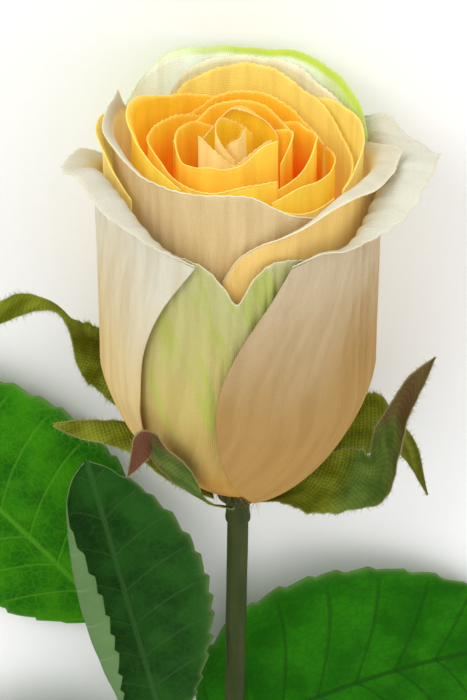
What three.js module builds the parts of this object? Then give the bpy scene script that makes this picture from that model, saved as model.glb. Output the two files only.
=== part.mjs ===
// An artificial cut rose: one half-open fabric flower on a wired plastic stem, with two sprays of
// fabric leaves. It lies on its back on a flat surface: the head and the cut end of the stem touch it.
//
// Flower frame: the stem's axis is Z, the lowest petals start near Z = 0, and azimuth 0 is the front
// (-Y), growing towards +X. Lying frame: the surface is Z = 0 and the head points along +Y.
// Units are millimetres and degrees.
import * as THREE from 'three';

// ---- Driving sizes -------------------------------------------------------------------------------
const CLEARANCE = 0.35;          // gap between pieces that are glued or plugged together
const FABRIC = 0.45;             // thickness of petals, sepals and leaflets, with their backing

const BELLY_RISE = 34;           // height over which a petal swings from the hub to upright
const BELLY_POWER = 1.3;         // roundness of that swing
const SWING_TOP = 40;            // height at which a petal starts to lean towards its rim radius
const PETAL_PITCH = 0.8;         // step up the hub from one petal to the next
const FIRST_PETAL = -1.6;        // height of the lowest petal on the hub
const ROW_SPREAD = 1.5;          // crowds the rows of a petal's body towards the hub, where it turns most
const WIDE_REACH = 15;           // petals that reach further than this get more rows and columns
const LONG_LIP = 4;              // a longer lip than this gets more rows
const LEAN_SPAN = 2;             // height below the crest over which its lean is measured

const STEM_RADIUS = 2.2;
const STEM_BORE = 0.85;
const WIRE_RADIUS = 0.5;
const STEM_LENGTH = 234;         // from the flower's origin to the cut end
const WIRE_PROUD = 1.5;          // the wire stands out of the cut end
const COLLAR_LENGTH = 10;
const COLLAR_RADIUS = 2.6;
const COLLAR_TOP = -5;           // the collar widens into the cup from here
const CUP_FOOT = -3;
const CUP_RADIUS = 4.4;          // moulded cup that the sepals and petals are threaded on
const HUB_TOP_RADIUS = 2.9;
const HUB_TAPER = 24;            // height over which the hub narrows above the cup
const CORE_RADIUS = 2.2;         // foam core inside the bud
const CORE_TOP = 62;
const CUP_TOP = 0.83 * BELLY_RISE;   // height where the hub ends and the core begins

const HEAD_REST_RADIUS = 26.6;   // the head touches the surface here, under its belly
const HEAD_REST_HEIGHT = 33;
const SEPAL_HUG = 27.9;          // sepals stay outside a belly of this reach

const RACHIS_RADIUS = 0.9;
const STEM_BOW = 1;              // how far the stem bows to one side

// Angle between the stem's axis and the surface, where the cut end and the head both touch it.
const LIE_ANGLE = THREE.MathUtils.radToDeg(
  Math.atan((HEAD_REST_RADIUS - STEM_RADIUS) / (STEM_LENGTH + HEAD_REST_HEIGHT)),
);

// ---- Colours -------------------------------------------------------------------------------------
const finish = (color, roughness) => new THREE.MeshStandardMaterial({ color, roughness, metalness: 0 });
const PEACH = finish(0xf3dcb4, 0.8);
const CREAM = finish(0xf2ecd2, 0.8);
const YELLOW = finish(0xf6cf6a, 0.8);
const ORANGE = finish(0xf5b23c, 0.8);
const GREEN_TINT = finish(0xdfe6a4, 0.8);
const SEPAL_GREEN = finish(0x6e7f3c, 0.85);
const LEAF_GREEN = finish(0x2c7a2a, 0.55);
const LEAF_DARK = finish(0x1f5a2c, 0.55);
const STEM_GREEN = finish(0x39412b, 0.45);
const STEEL = new THREE.MeshStandardMaterial({ color: 0x8c8f90, roughness: 0.35, metalness: 1 });
const FOAM = finish(0xf0e6c8, 0.9);

// ---- Helpers -------------------------------------------------------------------------------------
const radians = THREE.MathUtils.degToRad;
const mix = (a, b, t) => a + (b - a) * t;
const clamp = (t) => Math.min(1, Math.max(0, t));
const smooth = (t) => clamp(t) ** 2 * (3 - 2 * clamp(t));

// A smooth curve through rows [x, a, b, ...] with x rising; it gives [a, b, ...] at any x.
function through(rows) {
  const slope = (i, k) => {
    const low = rows[Math.max(0, i - 1)];
    const high = rows[Math.min(rows.length - 1, i + 1)];
    return (high[k] - low[k]) / (high[0] - low[0]);
  };
  return (x) => {
    let i = 0;
    while (i < rows.length - 2 && x > rows[i + 1][0]) i += 1;
    const [start, end] = [rows[i], rows[i + 1]];
    const width = end[0] - start[0];
    const t = clamp((x - start[0]) / width);
    return start.slice(1).map((value, n) => {
      const k = n + 1;
      const pull = (slope(i, k) * (1 - t) - slope(i + 1, k) * t) * t * (1 - t) * width;
      const turn = (end[k] - value) * (t * t * (3 - 2 * t)) + value;
      return turn + pull;
    });
  };
}

// A closed sheet of even thickness about the surface point(i, j), for i and j on a grid.
function sheet(columns, rows, thickness, point) {
  const grid = [];
  for (let i = 0; i <= columns; i += 1) {
    grid.push([]);
    for (let j = 0; j <= rows; j += 1) grid[i].push(point(i / columns, j / rows));
  }
  const at = (i, j) => grid[Math.min(columns, Math.max(0, i))][Math.min(rows, Math.max(0, j))];
  const positions = [];
  for (const side of [0.5, -0.5]) {
    for (let i = 0; i <= columns; i += 1) {
      for (let j = 0; j <= rows; j += 1) {
        const across = at(i + 1, j).clone().sub(at(i - 1, j));
        const along = at(i, j + 1).clone().sub(at(i, j - 1));
        const normal = across.cross(along).normalize();
        positions.push(...at(i, j).clone().addScaledVector(normal, side * thickness));
      }
    }
  }
  const stride = rows + 1;
  const back = (columns + 1) * stride;
  const index = [];
  const quad = (a, b, c, d) => index.push(a, b, c, a, c, d);
  for (let i = 0; i < columns; i += 1) {
    for (let j = 0; j < rows; j += 1) {
      const a = i * stride + j;
      quad(a, a + stride, a + stride + 1, a + 1);
      quad(back + a, back + a + 1, back + a + stride + 1, back + a + stride);
    }
  }
  const edge = [];
  for (let i = 0; i < columns; i += 1) edge.push(i * stride);
  for (let j = 0; j < rows; j += 1) edge.push(columns * stride + j);
  for (let i = columns; i > 0; i -= 1) edge.push(i * stride + rows);
  for (let j = rows; j > 0; j -= 1) edge.push(j);
  edge.forEach((a, n) => {
    const b = edge[(n + 1) % edge.length];
    quad(a, back + a, back + b, b);
  });
  const geometry = new THREE.BufferGeometry();
  geometry.setAttribute('position', new THREE.Float32BufferAttribute(positions, 3));
  geometry.setIndex(index);
  return geometry;
}

// A point from azimuth, radius and height in the flower frame.
function around(azimuth, radius, height) {
  const angle = radians(azimuth);
  return new THREE.Vector3(radius * Math.sin(angle), -radius * Math.cos(angle), height);
}

function circle(radius, sides) {
  const points = [];
  for (let k = 0; k < sides; k += 1) {
    const angle = (2 * Math.PI * k) / sides;
    points.push(new THREE.Vector2(radius * Math.cos(angle), radius * Math.sin(angle)));
  }
  return points;
}

function tube(path, radius, sides, steps, bore = 0) {
  const section = new THREE.Shape(circle(radius, sides));
  if (bore > 0) section.holes.push(new THREE.Path(circle(bore, 8).reverse()));
  return new THREE.ExtrudeGeometry(section, { extrudePath: path, steps, bevelEnabled: false });
}

function lathe(profile, sides) {
  const points = profile.map(([radius, height]) => new THREE.Vector2(radius, height));
  const geometry = new THREE.LatheGeometry(points, sides);
  return geometry.rotateX(Math.PI / 2);
}

// ---- Petals --------------------------------------------------------------------------------------
// Each petal is threaded on the hub, bellies out to its reach, then stands up to its rim and rolls
// outwards. Rows of a margin are [height, azimuth]. Rows of a rim are [azimuth, height, radius, lip,
// roll]: the lip is the length of fabric past the crest, and the roll is how far it turns outwards.
// They run from the outside in, and each one starts a step higher on the hub.
const PETALS = [
  { name: 'petal_outer_right', colour: PEACH, reach: 27.8,
    left: [[-1, 30], [6, 10], [18, -5], [34, -9], [43, -7], [54, 2], [64, 14], [71, 22]],
    right: [[0, 78], [20, 112], [50, 124], [75, 128]],
    rim: [[22, 70.5, 28, 1, 30], [32, 71.5, 28, 2, 70], [45, 70.5, 28, 3, 100], [57, 72, 28, 7, 115],
      [70, 75, 28, 11.5, 104], [82, 74.4, 28, 12.6, 100], [92, 73.4, 28, 11, 100],
      [101, 74.6, 28, 9, 80], [113, 76, 28, 7, 60], [128, 75, 28, 2, 40]] },
  { name: 'petal_outer_left', colour: PEACH, reach: 27.8,
    left: [[0, -100], [20, -118], [66, -124]],
    right: [[0, -68], [12, -60], [20, -51], [30, -45], [46, -42], [58, -33], [71, -17]],
    rim: [[-124, 66, 27.2, 1, 30], [-112, 71, 27.6, 3, 60], [-100, 73.4, 28, 6, 88],
      [-90, 73.6, 28, 6.4, 98], [-80, 77.2, 28, 7.2, 106], [-70, 80.5, 28, 7.5, 110],
      [-60, 81, 28, 8, 118], [-50, 79.5, 28, 7, 122], [-42, 77, 28, 5, 120], [-34, 74.5, 28, 3.2, 105],
      [-25, 72.3, 28, 2, 70], [-17, 71, 28, 1, 30]] },
  { name: 'petal_front', colour: GREEN_TINT, reach: 26.2,
    left: [[0, -40], [8, -64], [16, -64], [26, -56], [71, -54]],
    right: [[0, 34], [20, 48], [70, 52]],
    rim: [[-54, 70, 26.4, 1, 10], [-30, 71.5, 26.6, 1, 10], [-14, 70, 26.8, 1, 20],
      [-6, 66.5, 27, 1, 20], [0, 62.4, 27, 1, 20], [6, 67.5, 26.8, 1, 20], [15, 71, 26.6, 1, 10],
      [30, 70, 26.5, 1, 10], [52, 67, 26.4, 1, 10]] },
  { name: 'petal_outer_back', colour: GREEN_TINT, reach: 26.5,
    left: [[0, 150], [20, 118], [75, 108]],
    right: [[0, 215], [20, 240], [79, 244]],
    rim: [[108, 78, 26.6, 1, 30], [119, 81, 27, 1.8, 60], [129, 82.4, 27.2, 2.2, 70],
      [138, 84, 27.4, 2.4, 75], [153, 85.8, 27.4, 2.4, 80], [167, 85.6, 27.4, 2.4, 80],
      [180, 85.6, 27.4, 2.4, 80], [196, 86.2, 27.4, 2.4, 80], [207, 86.4, 27.4, 2.2, 70],
      [217, 86, 27.2, 1.6, 60], [225, 84.6, 27, 1.2, 40], [236, 81.5, 26.6, 1, 20],
      [244, 79, 26.2, 1, 20]] },
  { name: 'petal_left_strip', colour: YELLOW, reach: 25.1,
    left: [[0, -116], [20, -130], [79, -134]],
    right: [[0, -76], [20, -56], [80, -52]],
    rim: [[-134, 79, 25.2, 1, 20], [-117, 81.5, 25.4, 1, 40], [-98, 83.5, 26.2, 2.5, 50],
      [-74, 84, 26.2, 2, 50], [-52, 79, 25.8, 1, 20]] },
  { name: 'petal_second_right', colour: PEACH, reach: 25.0,
    left: [[0, 24], [20, -3], [66, -7]],
    right: [[0, 82], [20, 110], [78, 116]],
    rim: [[-7, 66, 25, 1, 5], [0, 71.6, 25.2, 1, 10], [9, 74.5, 25.4, 1, 30], [20, 75.5, 25.4, 2, 60],
      [34, 78, 25.6, 3, 80], [50, 80.3, 25.8, 5, 105], [68, 79.4, 26, 6.5, 100],
      [86, 77.4, 25.8, 5.5, 92], [102, 78, 25.2, 1.6, 40], [116, 78, 25.1, 1, 20]] },
  { name: 'petal_second_back', colour: CREAM, reach: 24.6,
    left: [[0, 140], [20, 122], [80, 118]],
    right: [[0, 200], [20, 212], [79, 216]],
    rim: [[118, 81, 25, 1, 20], [130, 82, 25.2, 1.2, 40], [141, 83, 25.4, 1.4, 50],
      [151, 84.4, 25.6, 1.6, 55], [161, 85.4, 25.6, 1.6, 55], [177, 85.7, 25.6, 1.6, 55],
      [191, 85.4, 25.4, 1.6, 55], [200, 84.8, 25.2, 1.4, 50], [207, 83.4, 25, 1.2, 40],
      [216, 79.5, 25, 1, 20]] },
  { name: 'petal_second_left', colour: PEACH, reach: 23.9,
    left: [[0, -90], [20, -112], [82, -118]],
    right: [[0, 12], [20, 34], [76, 42]],
    rim: [[-118, 82, 24, 1.6, 40], [-107, 84.6, 24, 3, 40], [-96, 85.4, 24.2, 3.2, 70],
      [-80, 86, 24.2, 3, 80], [-62, 85.5, 24, 2, 80], [-44, 84, 24, 1.8, 60], [-18, 84.6, 24, 1, 40],
      [5, 84.8, 24, 1, 40], [22, 80, 24, 1, 40], [42, 76, 24, 1, 20]] },
  { name: 'petal_right_gold', colour: YELLOW, reach: 23.2,
    left: [[0, 76], [20, 62], [79, 58]],
    right: [[0, 120], [20, 148], [80, 152]],
    rim: [[58, 79, 23.6, 1, 20], [75, 82, 24, 1, 30], [88, 83.5, 24.2, 1, 30],
      [101, 83.8, 24.2, 1, 30], [118, 83, 24, 1, 30], [130, 82.4, 23.8, 1, 30],
      [140, 81.4, 23.6, 1, 30], [152, 80, 23.6, 1, 10]] },
  { name: 'petal_big_back', colour: YELLOW, reach: 22.0,
    left: [[0, 108], [20, 74], [77, 66]],
    right: [[0, 184], [20, 210], [81, 216]],
    rim: [[66, 77, 22, 1, 20], [92, 77.2, 22.2, 1, 30], [114, 77.2, 22.4, 1, 30],
      [123, 79.5, 22.4, 1, 30], [131, 81.2, 22.4, 1, 30], [138, 82.3, 22.4, 1, 30],
      [146, 82.8, 22.4, 1, 30], [152, 84.2, 22.4, 1, 40], [161, 85.6, 22.4, 1.2, 40],
      [169, 86.2, 22.4, 1.2, 40], [179, 86.4, 22.4, 1.2, 40], [192, 85.6, 22.4, 1.2, 40],
      [200, 84.8, 22.4, 1, 40], [211, 83.4, 22.2, 1, 30], [218, 81, 22, 1, 20]] },
  { name: 'petal_front_gold', colour: YELLOW, reach: 21.4,
    left: [[0, 26], [20, 10], [80, 4]],
    right: [[0, 44], [20, 54], [76, 58]],
    rim: [[4, 82.5, 21.4, 1, 20], [12, 81.6, 21.6, 1, 30], [19, 79.8, 21.7, 1, 40],
      [33, 77.4, 21.8, 1, 40], [47, 76.8, 21.8, 1, 40], [58, 76.6, 21.6, 1, 30]] },
  { name: 'petal_inner_left', colour: YELLOW, reach: 20.2,
    left: [[0, -138], [20, -164], [80, -170]],
    right: [[0, -66], [20, -40], [82, -34]],
    rim: [[-170, 80.5, 19.6, 1, 20], [-158, 81.8, 20, 1, 30], [-145, 83, 20.2, 1, 40],
      [-134, 83.8, 20.4, 1.2, 40], [-115, 86, 20.6, 2, 50], [-95, 87, 20.6, 2, 50],
      [-80, 86.6, 20.4, 2, 50], [-55, 84.5, 20, 1, 40], [-34, 81.5, 19.6, 1, 20]] },
  { name: 'petal_inner_back', colour: ORANGE, reach: 18.9,
    left: [[0, 140], [20, 122], [76, 116]],
    right: [[0, 196], [20, 216], [78, 220]],
    rim: [[116, 76.5, 18.6, 1, 20], [136, 78.6, 18.6, 1, 30], [143, 80, 18.6, 1, 40],
      [157, 81.8, 18.6, 1, 40], [170, 82.6, 18.6, 1, 40], [182, 82.5, 18.6, 1, 40],
      [194, 81.6, 18.4, 1, 40], [204, 80, 18.2, 1, 30], [220, 78.6, 18, 1, 20]] },
  { name: 'petal_inner_right', colour: YELLOW, reach: 18.8,
    left: [[0, 46], [20, 26], [79, 20]],
    right: [[0, 86], [20, 106], [76, 110]],
    rim: [[20, 79.4, 18.8, 1, 20], [33, 81, 19, 1, 40], [47, 80.8, 19, 1, 40], [63, 80, 19, 1, 40],
      [82, 79, 18.8, 1, 30], [110, 77, 18.4, 1, 20]] },
  { name: 'petal_inner_front', colour: YELLOW, reach: 17.2,
    left: [[0, -132], [20, -160], [77, -166]],
    right: [[0, -2], [20, 22], [80, 28]],
    rim: [[-166, 77.5, 16.6, 1, 20], [-150, 79.2, 17, 1, 30], [-138, 80.6, 17.2, 1, 40],
      [-122, 81.4, 17.2, 1, 40], [-100, 82.4, 17.4, 1, 40], [-75, 83.8, 17.4, 1, 40],
      [-60, 83.4, 17.2, 1, 40], [-50, 81.6, 17, 1, 40], [-33, 80.6, 17, 1, 40], [-15, 81, 17, 1, 40],
      [1, 82.2, 16.8, 1, 40], [18, 82.6, 16.4, 1, 30], [28, 82, 16, 1, 20]] },
  { name: 'petal_inner_right_low', colour: ORANGE, reach: 15.6,
    left: [[0, 44], [20, 24], [78, 18]],
    right: [[0, 116], [20, 142], [77, 150]],
    rim: [[18, 78.5, 15, 1, 20], [37, 80, 15.2, 1, 40], [52, 81.2, 15.2, 1, 40],
      [64, 82.6, 15.2, 1, 40], [82, 84, 15.2, 1, 40], [100, 82.4, 15.2, 1, 40],
      [119, 80.6, 15.2, 1, 40], [132, 80.6, 15, 1, 30], [150, 78.4, 14.8, 1, 20]] },
  { name: 'petal_inner_back_low', colour: ORANGE, reach: 14.2,
    left: [[0, 156], [20, 136], [78, 130]],
    right: [[0, 224], [20, 244], [78, 250]],
    rim: [[130, 79, 13.6, 1, 20], [148, 81, 13.8, 1, 40], [160, 82.7, 13.8, 1, 40],
      [174, 83.3, 13.8, 1, 40], [191, 83, 13.8, 1, 40], [204, 82, 13.8, 1, 40],
      [216, 80.5, 13.6, 1, 30], [250, 79.4, 13.4, 1, 20]] },
  { name: 'petal_bud_left', colour: YELLOW, reach: 12.8,
    left: [[0, -112], [20, -138], [79, -158]],
    right: [[0, 14], [20, 44], [84, 52]],
    rim: [[-158, 78.8, 11.8, 1, 20], [-143, 80.6, 12.2, 1, 30], [-131, 81.6, 12.4, 1, 40],
      [-115, 82.2, 12.4, 1, 40], [-95, 82.2, 12.2, 1, 40], [-80, 81.2, 12, 1, 40],
      [-64, 80.6, 11.8, 1, 30], [-49, 81.2, 11.6, 1, 20], [-29, 82.4, 11.4, 1, 20],
      [-12, 82.8, 11.2, 1, 20], [3, 83.6, 10.8, 1, 20], [18, 85.4, 10.2, 1, 20],
      [34, 86.6, 9.8, 1, 20], [52, 86, 9.6, 1, 20]] },
  { name: 'petal_bud_right', colour: ORANGE, reach: 11.2,
    left: [[0, 64], [20, 50], [80, 56]],
    right: [[0, 116], [20, 136], [79, 140]],
    rim: [[56, 80.5, 9.8, 1, 20], [72, 83, 10.2, 1, 30], [90, 84, 10.4, 1, 40],
      [115, 82.2, 10.2, 1, 40], [140, 80, 9.8, 1, 20]] },
  { name: 'petal_bud_back', colour: YELLOW, reach: 9.8,
    left: [[0, 146], [20, 130], [80, 118]],
    right: [[0, 214], [20, 236], [80, 244]],
    rim: [[118, 80.6, 8.8, 1, 10], [134, 82, 8.8, 1.6, -30], [150, 83, 8.8, 2.6, -60],
      [164, 84, 8.8, 4.2, -80], [178, 84.4, 8.6, 4.8, -88], [192, 83.6, 8.6, 3.8, -70],
      [206, 82, 8.6, 2, -40], [220, 80.8, 8.6, 1, -10], [244, 79.6, 8.4, 1, 10]] },
  { name: 'petal_bud_front', colour: YELLOW, reach: 8.6,
    left: [[0, -84], [20, -104], [80, -116]],
    right: [[0, 50], [20, 80], [82, 88]],
    rim: [[-116, 81, 7.6, 1, 10], [-90, 83.4, 7.6, 1, 10], [-62, 84.6, 7.6, 1, 20],
      [-40, 83.8, 7.4, 1, 10], [-22, 82.4, 7.2, 1, 10], [-6, 81.2, 7, 1, 10], [12, 82.4, 6.8, 1, 10],
      [34, 84, 6.6, 1, 10], [60, 84.4, 6.6, 1, 10], [88, 82.4, 6.4, 1, 10]] },
  { name: 'petal_heart_left', colour: YELLOW, reach: 7.2,
    left: [[0, -180], [20, -204], [80, -212]],
    right: [[0, -50], [20, -20], [81, -6]],
    rim: [[-212, 81, 5.4, 1, 10], [-165, 84.4, 4.6, 1, 10], [-115, 86, 4.2, 1, 10],
      [-60, 84.6, 4.6, 1, 10], [-6, 81, 5.2, 1, 10]] },
  { name: 'petal_heart_right', colour: YELLOW, reach: 5.8,
    left: [[0, -14], [20, -50], [80, -90]],
    right: [[0, 112], [20, 150], [80, 200]],
    rim: [[-90, 81, 2.4, 1, 5], [-20, 83.6, 2.2, 1, 5], [60, 85.4, 1.6, 1, 5], [130, 84.6, 1.2, 1, 5],
      [200, 81, 1, 1, 5]] },
];

const hubRadius = (height) => mix(CUP_RADIUS, HUB_TOP_RADIUS, clamp(height / HUB_TAPER));

// Radius of a petal's belly at a height, before it leans to its rim.
function belly(reach, foot, height) {
  const t = clamp((height - foot) / BELLY_RISE);
  return reach * Math.sqrt(1 - (1 - t) ** BELLY_POWER);
}

// Height at which the belly leaves the hub.
function bellyFoot(reach, foot) {
  const share = (hubRadius(foot) + CLEARANCE) / reach;
  return foot + BELLY_RISE * (1 - (1 - share * share) ** (1 / BELLY_POWER));
}

function petal({ name, colour, reach, left, right, rim }, order) {
  const foot = FIRST_PETAL + order * PETAL_PITCH;
  const start = bellyFoot(reach, foot);
  const leftMargin = through(left);
  const rightMargin = through(right);
  const crest = through(rim);
  const [first, last] = [rim[0][0], rim[rim.length - 1][0]];
  const longLip = Math.max(...rim.map((row) => row[3])) > LONG_LIP;
  const wide = reach > WIDE_REACH;
  const bodyRows = wide ? 8 : 7;
  const lipRows = longLip ? 3 : 1;
  const columns = Math.max(6, Math.round((last - first) / (wide ? 13 : 20)));
  const bodyShare = bodyRows / (bodyRows + lipRows);

  function meridian(top, rimRadius, height) {
    const lean = smooth((height - SWING_TOP) / (top - SWING_TOP));
    return belly(reach, foot, height) + (rimRadius - reach) * lean;
  }
  function point(s, v) {
    const [top, rimRadius, lip, roll] = crest(mix(first, last, s));
    const rise = clamp(v / bodyShare) ** ROW_SPREAD;
    const height = mix(start, top, rise);
    const azimuth = mix(leftMargin(height)[0], rightMargin(height)[0], s);
    if (v <= bodyShare) return around(azimuth, meridian(top, rimRadius, height), height);
    const slope = (rimRadius - meridian(top, rimRadius, top - LEAN_SPAN)) / LEAN_SPAN;
    const lean = Math.atan(slope);
    const reached = lip * ((v - bodyShare) / (1 - bodyShare));
    const turned = (radians(roll) * reached) / lip;
    const curl = lip / radians(roll);
    const outwards = curl * (Math.cos(lean) - Math.cos(lean + turned));
    const upwards = curl * (Math.sin(lean + turned) - Math.sin(lean));
    return around(azimuth, rimRadius + outwards, top + upwards);
  }
  const geometry = sheet(columns, bodyRows + lipRows, FABRIC, point);
  return named(name, geometry, colour);
}

// ---- Sepals --------------------------------------------------------------------------------------
// Each sepal is ruled between two margins in the flower's frame. A row is [share of its length, x, y,
// z on one margin, x, y, z on the other]. The cup lifts its middle, and it never comes nearer to the
// petals than the gap.
const SEPALS = [
  { name: 'sepal_back_left', gap: 1.3, cup: 1.5,
    rows: [[0, -5.2, 3.4, -2.6, -3.2, 5.2, -2.6], [0.17, -15, 5, 6, -12, 13, 9],
      [0.34, -27.6, 5, 18.6, -25, 13, 27], [0.5, -32, 3, 25.8, -30.4, 9, 33.6],
      [0.64, -34.6, 1, 38.5, -34.9, 6, 37.6], [0.76, -38.4, -1, 43.6, -39.7, 2, 45],
      [0.88, -45.4, -4, 43.6, -46.4, -2, 47.4], [1, -55.5, -6, 38.9, -55.9, -5, 40]] },
  { name: 'sepal_left', gap: 1.3, cup: 0.8,
    rows: [[0, -5, -2.4, -2.6, -5.4, 0.6, -2.6], [0.3, -13.4, -4, 2.6, -13.6, 2, 4.6],
      [0.55, -21.4, -5, 10.6, -22.4, 1.5, 14], [0.75, -27.2, -4, 12.8, -28, 0, 15.8],
      [0.88, -32.7, -3, 13.6, -33.1, -1, 16.6], [1, -37.7, -3, 16.5, -37.8, -2, 16.4]] },
  { name: 'sepal_front_left', gap: 1.3, cup: 0.6,
    rows: [[0, -0.6, -5.4, -2.6, -3.4, -4.6, -2.6], [0.14, -2, -11, 1.4, -4.6, -8.6, 0.6],
      [0.3, -6.1, -15, 6.3, -6.7, -17, 9.9], [0.44, -10.3, -17, 10.6, -7.6, -20.5, 16.8],
      [0.57, -14, -18.5, 15.1, -9.9, -23, 22.9], [0.69, -17.2, -18.5, 19.6, -13.5, -22.5, 26.8],
      [0.78, -17.3, -22, 24.7, -17.9, -25, 31.8], [0.86, -17.4, -25.5, 25.5, -20.4, -27, 31.3],
      [0.93, -19.3, -27.5, 24.6, -21.0, -28, 27.9], [1, -21.7, -28.6, 22.7, -21.9, -28.4, 22.5]] },
  { name: 'sepal_front_right', gap: 1.3, cup: 1.6,
    rows: [[0, 4.4, -3.4, -2.6, 5.4, 0.4, -2.6], [0.14, 9, -8, 0.8, 12, 2, 2.4],
      [0.28, 15, -9, -1.2, 20, 1, 7.4], [0.4, 22, -8, -1.6, 25, -1, 9.4],
      [0.52, 30.3, -5.4, -0.5, 27.2, -1, 7.8], [0.64, 32.9, -3.4, 7.8, 27.9, -1, 14.1],
      [0.77, 34.9, -1.4, 17.5, 30.1, 0, 18], [0.89, 37.7, 0, 24, 34.6, 0.4, 26.2],
      [1, 40.1, 1, 31, 39.8, 1, 31]] },
  { name: 'sepal_back_right', gap: 1.3, cup: -0.8,
    rows: [[0, 4.6, 3, -2.6, 3, 4.8, -2.6], [0.2, 12, 5, -0.2, 13, 10, 5],
      [0.42, 21.6, 5.6, 1.6, 23, 10, 11.6], [0.62, 28, 6.6, 3, 28.6, 10.4, 15.4],
      [0.76, 32.6, 7.6, 2.6, 33.4, 9.6, 9.4], [0.88, 36, 7, -1.2, 37.4, 8, 3.4],
      [1, 39.6, 4, -6.6, 39.8, 5, -6.8]] },
];

function sepal({ name, gap, cup, rows }) {
  const margins = through(rows);
  function flat(s, v) {
    const [x1, y1, z1, x2, y2, z2] = margins(v);
    return new THREE.Vector3(mix(x1, x2, s), mix(y1, y2, s), mix(z1, z2, s));
  }
  function point(s, v) {
    const step = 0.02;
    const across = flat(1, v).sub(flat(0, v));
    const along = flat(s, Math.min(1, v + step)).sub(flat(s, Math.max(0, v - step)));
    const lift = cup * Math.sin(Math.PI * s) * Math.sin(Math.PI * v ** 0.7);
    const place = flat(s, v).addScaledVector(across.cross(along).normalize(), lift);
    const radius = Math.hypot(place.x, place.y);
    const least = belly(SEPAL_HUG, FIRST_PETAL, place.z) + gap;
    const grow = Math.max(1, least / radius);
    return new THREE.Vector3(place.x * grow, place.y * grow, place.z);
  }
  return named(name, sheet(4, 14, FABRIC, point), SEPAL_GREEN);
}

// ---- Leaf sprays ---------------------------------------------------------------------------------
// Set in the lying frame. The base is [x, y, z] of a leaflet's foot; heading is the direction of its
// midrib in plan, 90 towards the head; bend turns the heading along the midrib. The tip ends at
// tipHeight, arch lifts the middle, and half and fold are the width and the lift per millimetre of
// the left and right sides. Curl is the radius of a left margin rolled over, or 0.
const LEAFLETS = [
  { name: 'leaflet_left_end', colour: LEAF_GREEN, base: [-28, -46.5, 4.8], heading: 127,
    bend: 12, length: 86, half: [22, 29], tipHeight: 0.3,
    arch: 1.6, fold: [-0.04, 0.12], curl: 0 },
  { name: 'leaflet_left_inner', colour: LEAF_DARK, base: [-15, -75, 12.8], heading: 100,
    bend: 5, length: 77, half: [18.5, 18], tipHeight: 15,
    arch: 4, fold: [0.2, 0.06], curl: 3.4, full: 1.3 },
  { name: 'leaflet_left_outer', colour: LEAF_GREEN, base: [-17, -78.5, 9.4], heading: 200,
    bend: -12, length: 62, half: [19, 19], tipHeight: 0.3,
    arch: 3, fold: [0.05, 0.05], curl: 0 },
  { name: 'leaflet_right_end', colour: LEAF_GREEN, base: [-5, -79.5, 8.4], heading: 41,
    bend: -46, length: 77, half: [30, 25], tipHeight: 0.3,
    arch: 3.4, fold: [0.03, -0.05], curl: 0 },
  { name: 'leaflet_right_low', colour: LEAF_GREEN, base: [4.4, -106, 7.4], heading: -24,
    bend: 14, length: 66, half: [20, 20], tipHeight: 0.3,
    arch: 3, fold: [0.05, 0.05], curl: 0 },
  { name: 'leaflet_cross_low', colour: LEAF_DARK, base: [-3.2, -110, 7.4], heading: 212,
    bend: -16, length: 60, half: [18, 18], tipHeight: 0.3,
    arch: 2, fold: [0.05, 0.05], curl: 0 },
];

const CURL_START = 0.3;          // share of the half-width where a rolled margin starts to turn

// Half-width of an ovate leaflet at share t of its length, as a share of the greatest half-width. It
// is greatest nearer the tip as full grows.
const OVATE = 0.82;
const ovate = (t, full = OVATE) => Math.max(0.05, Math.sin(Math.PI * t ** full) ** 0.72);

function leaflet(leaf) {
  const [x0, y0, z0] = leaf.base;
  const steps = 12;
  const spine = [new THREE.Vector2(x0, y0)];
  for (let k = 0; k < steps; k += 1) {
    const angle = radians(leaf.heading + (leaf.bend * (k + 0.5)) / steps);
    const stride = leaf.length / steps;
    const last = spine[k];
    spine.push(new THREE.Vector2(last.x + stride * Math.cos(angle), last.y + stride * Math.sin(angle)));
  }
  function point(s, v) {
    const k = Math.min(steps - 1, Math.floor(v * steps));
    const centre = spine[k].clone().lerp(spine[k + 1], v * steps - k);
    const angle = radians(leaf.heading + leaf.bend * v);
    const side = s * 2 - 1;
    const onLeft = side < 0;
    const half = leaf.half[onLeft ? 0 : 1] * ovate(v, leaf.full);
    let reached = half * Math.abs(side);
    let lift = leaf.fold[onLeft ? 0 : 1] * reached;
    if (onLeft && leaf.curl) {
      const flat = half * CURL_START;
      const turned = Math.max(0, reached - flat) / leaf.curl;
      lift += leaf.curl * (1 - Math.cos(turned));
      reached = Math.min(reached, flat) + leaf.curl * Math.sin(turned);
    }
    const out = onLeft ? 1 : -1;
    const ridge = mix(z0, leaf.tipHeight, v) + leaf.arch * Math.sin(Math.PI * v);
    const height = Math.max(FABRIC / 2 + 0.02, ridge + lift);
    const x = centre.x - Math.sin(angle) * out * reached;
    const y = centre.y + Math.cos(angle) * out * reached;
    return new THREE.Vector3(x, y, height);
  }
  return named(leaf.name, sheet(8, steps, FABRIC, point), leaf.colour);
}

function rachis(name, points) {
  const path = new THREE.CatmullRomCurve3(points.map((p) => new THREE.Vector3(...p)));
  return named(name, tube(path, RACHIS_RADIUS, 8, 14), STEM_GREEN);
}

// ---- Stem, wire, cup and core --------------------------------------------------------------------
const STEM_TOP = -COLLAR_LENGTH - CLEARANCE;
const stemPoint = (height) => {
  const down = clamp((STEM_TOP - height) / (STEM_LENGTH + STEM_TOP));
  return new THREE.Vector3(-STEM_BOW * Math.sin(Math.PI * down), 0, height);
};

function stemPath(from, to) {
  const points = [];
  for (let k = 0; k <= 12; k += 1) points.push(stemPoint(mix(from, to, k / 12)));
  return new THREE.CatmullRomCurve3(points);
}

function stem() {
  const path = stemPath(STEM_TOP, -STEM_LENGTH);
  return named('stem', tube(path, STEM_RADIUS, 12, 18, STEM_BORE), STEM_GREEN);
}

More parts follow.
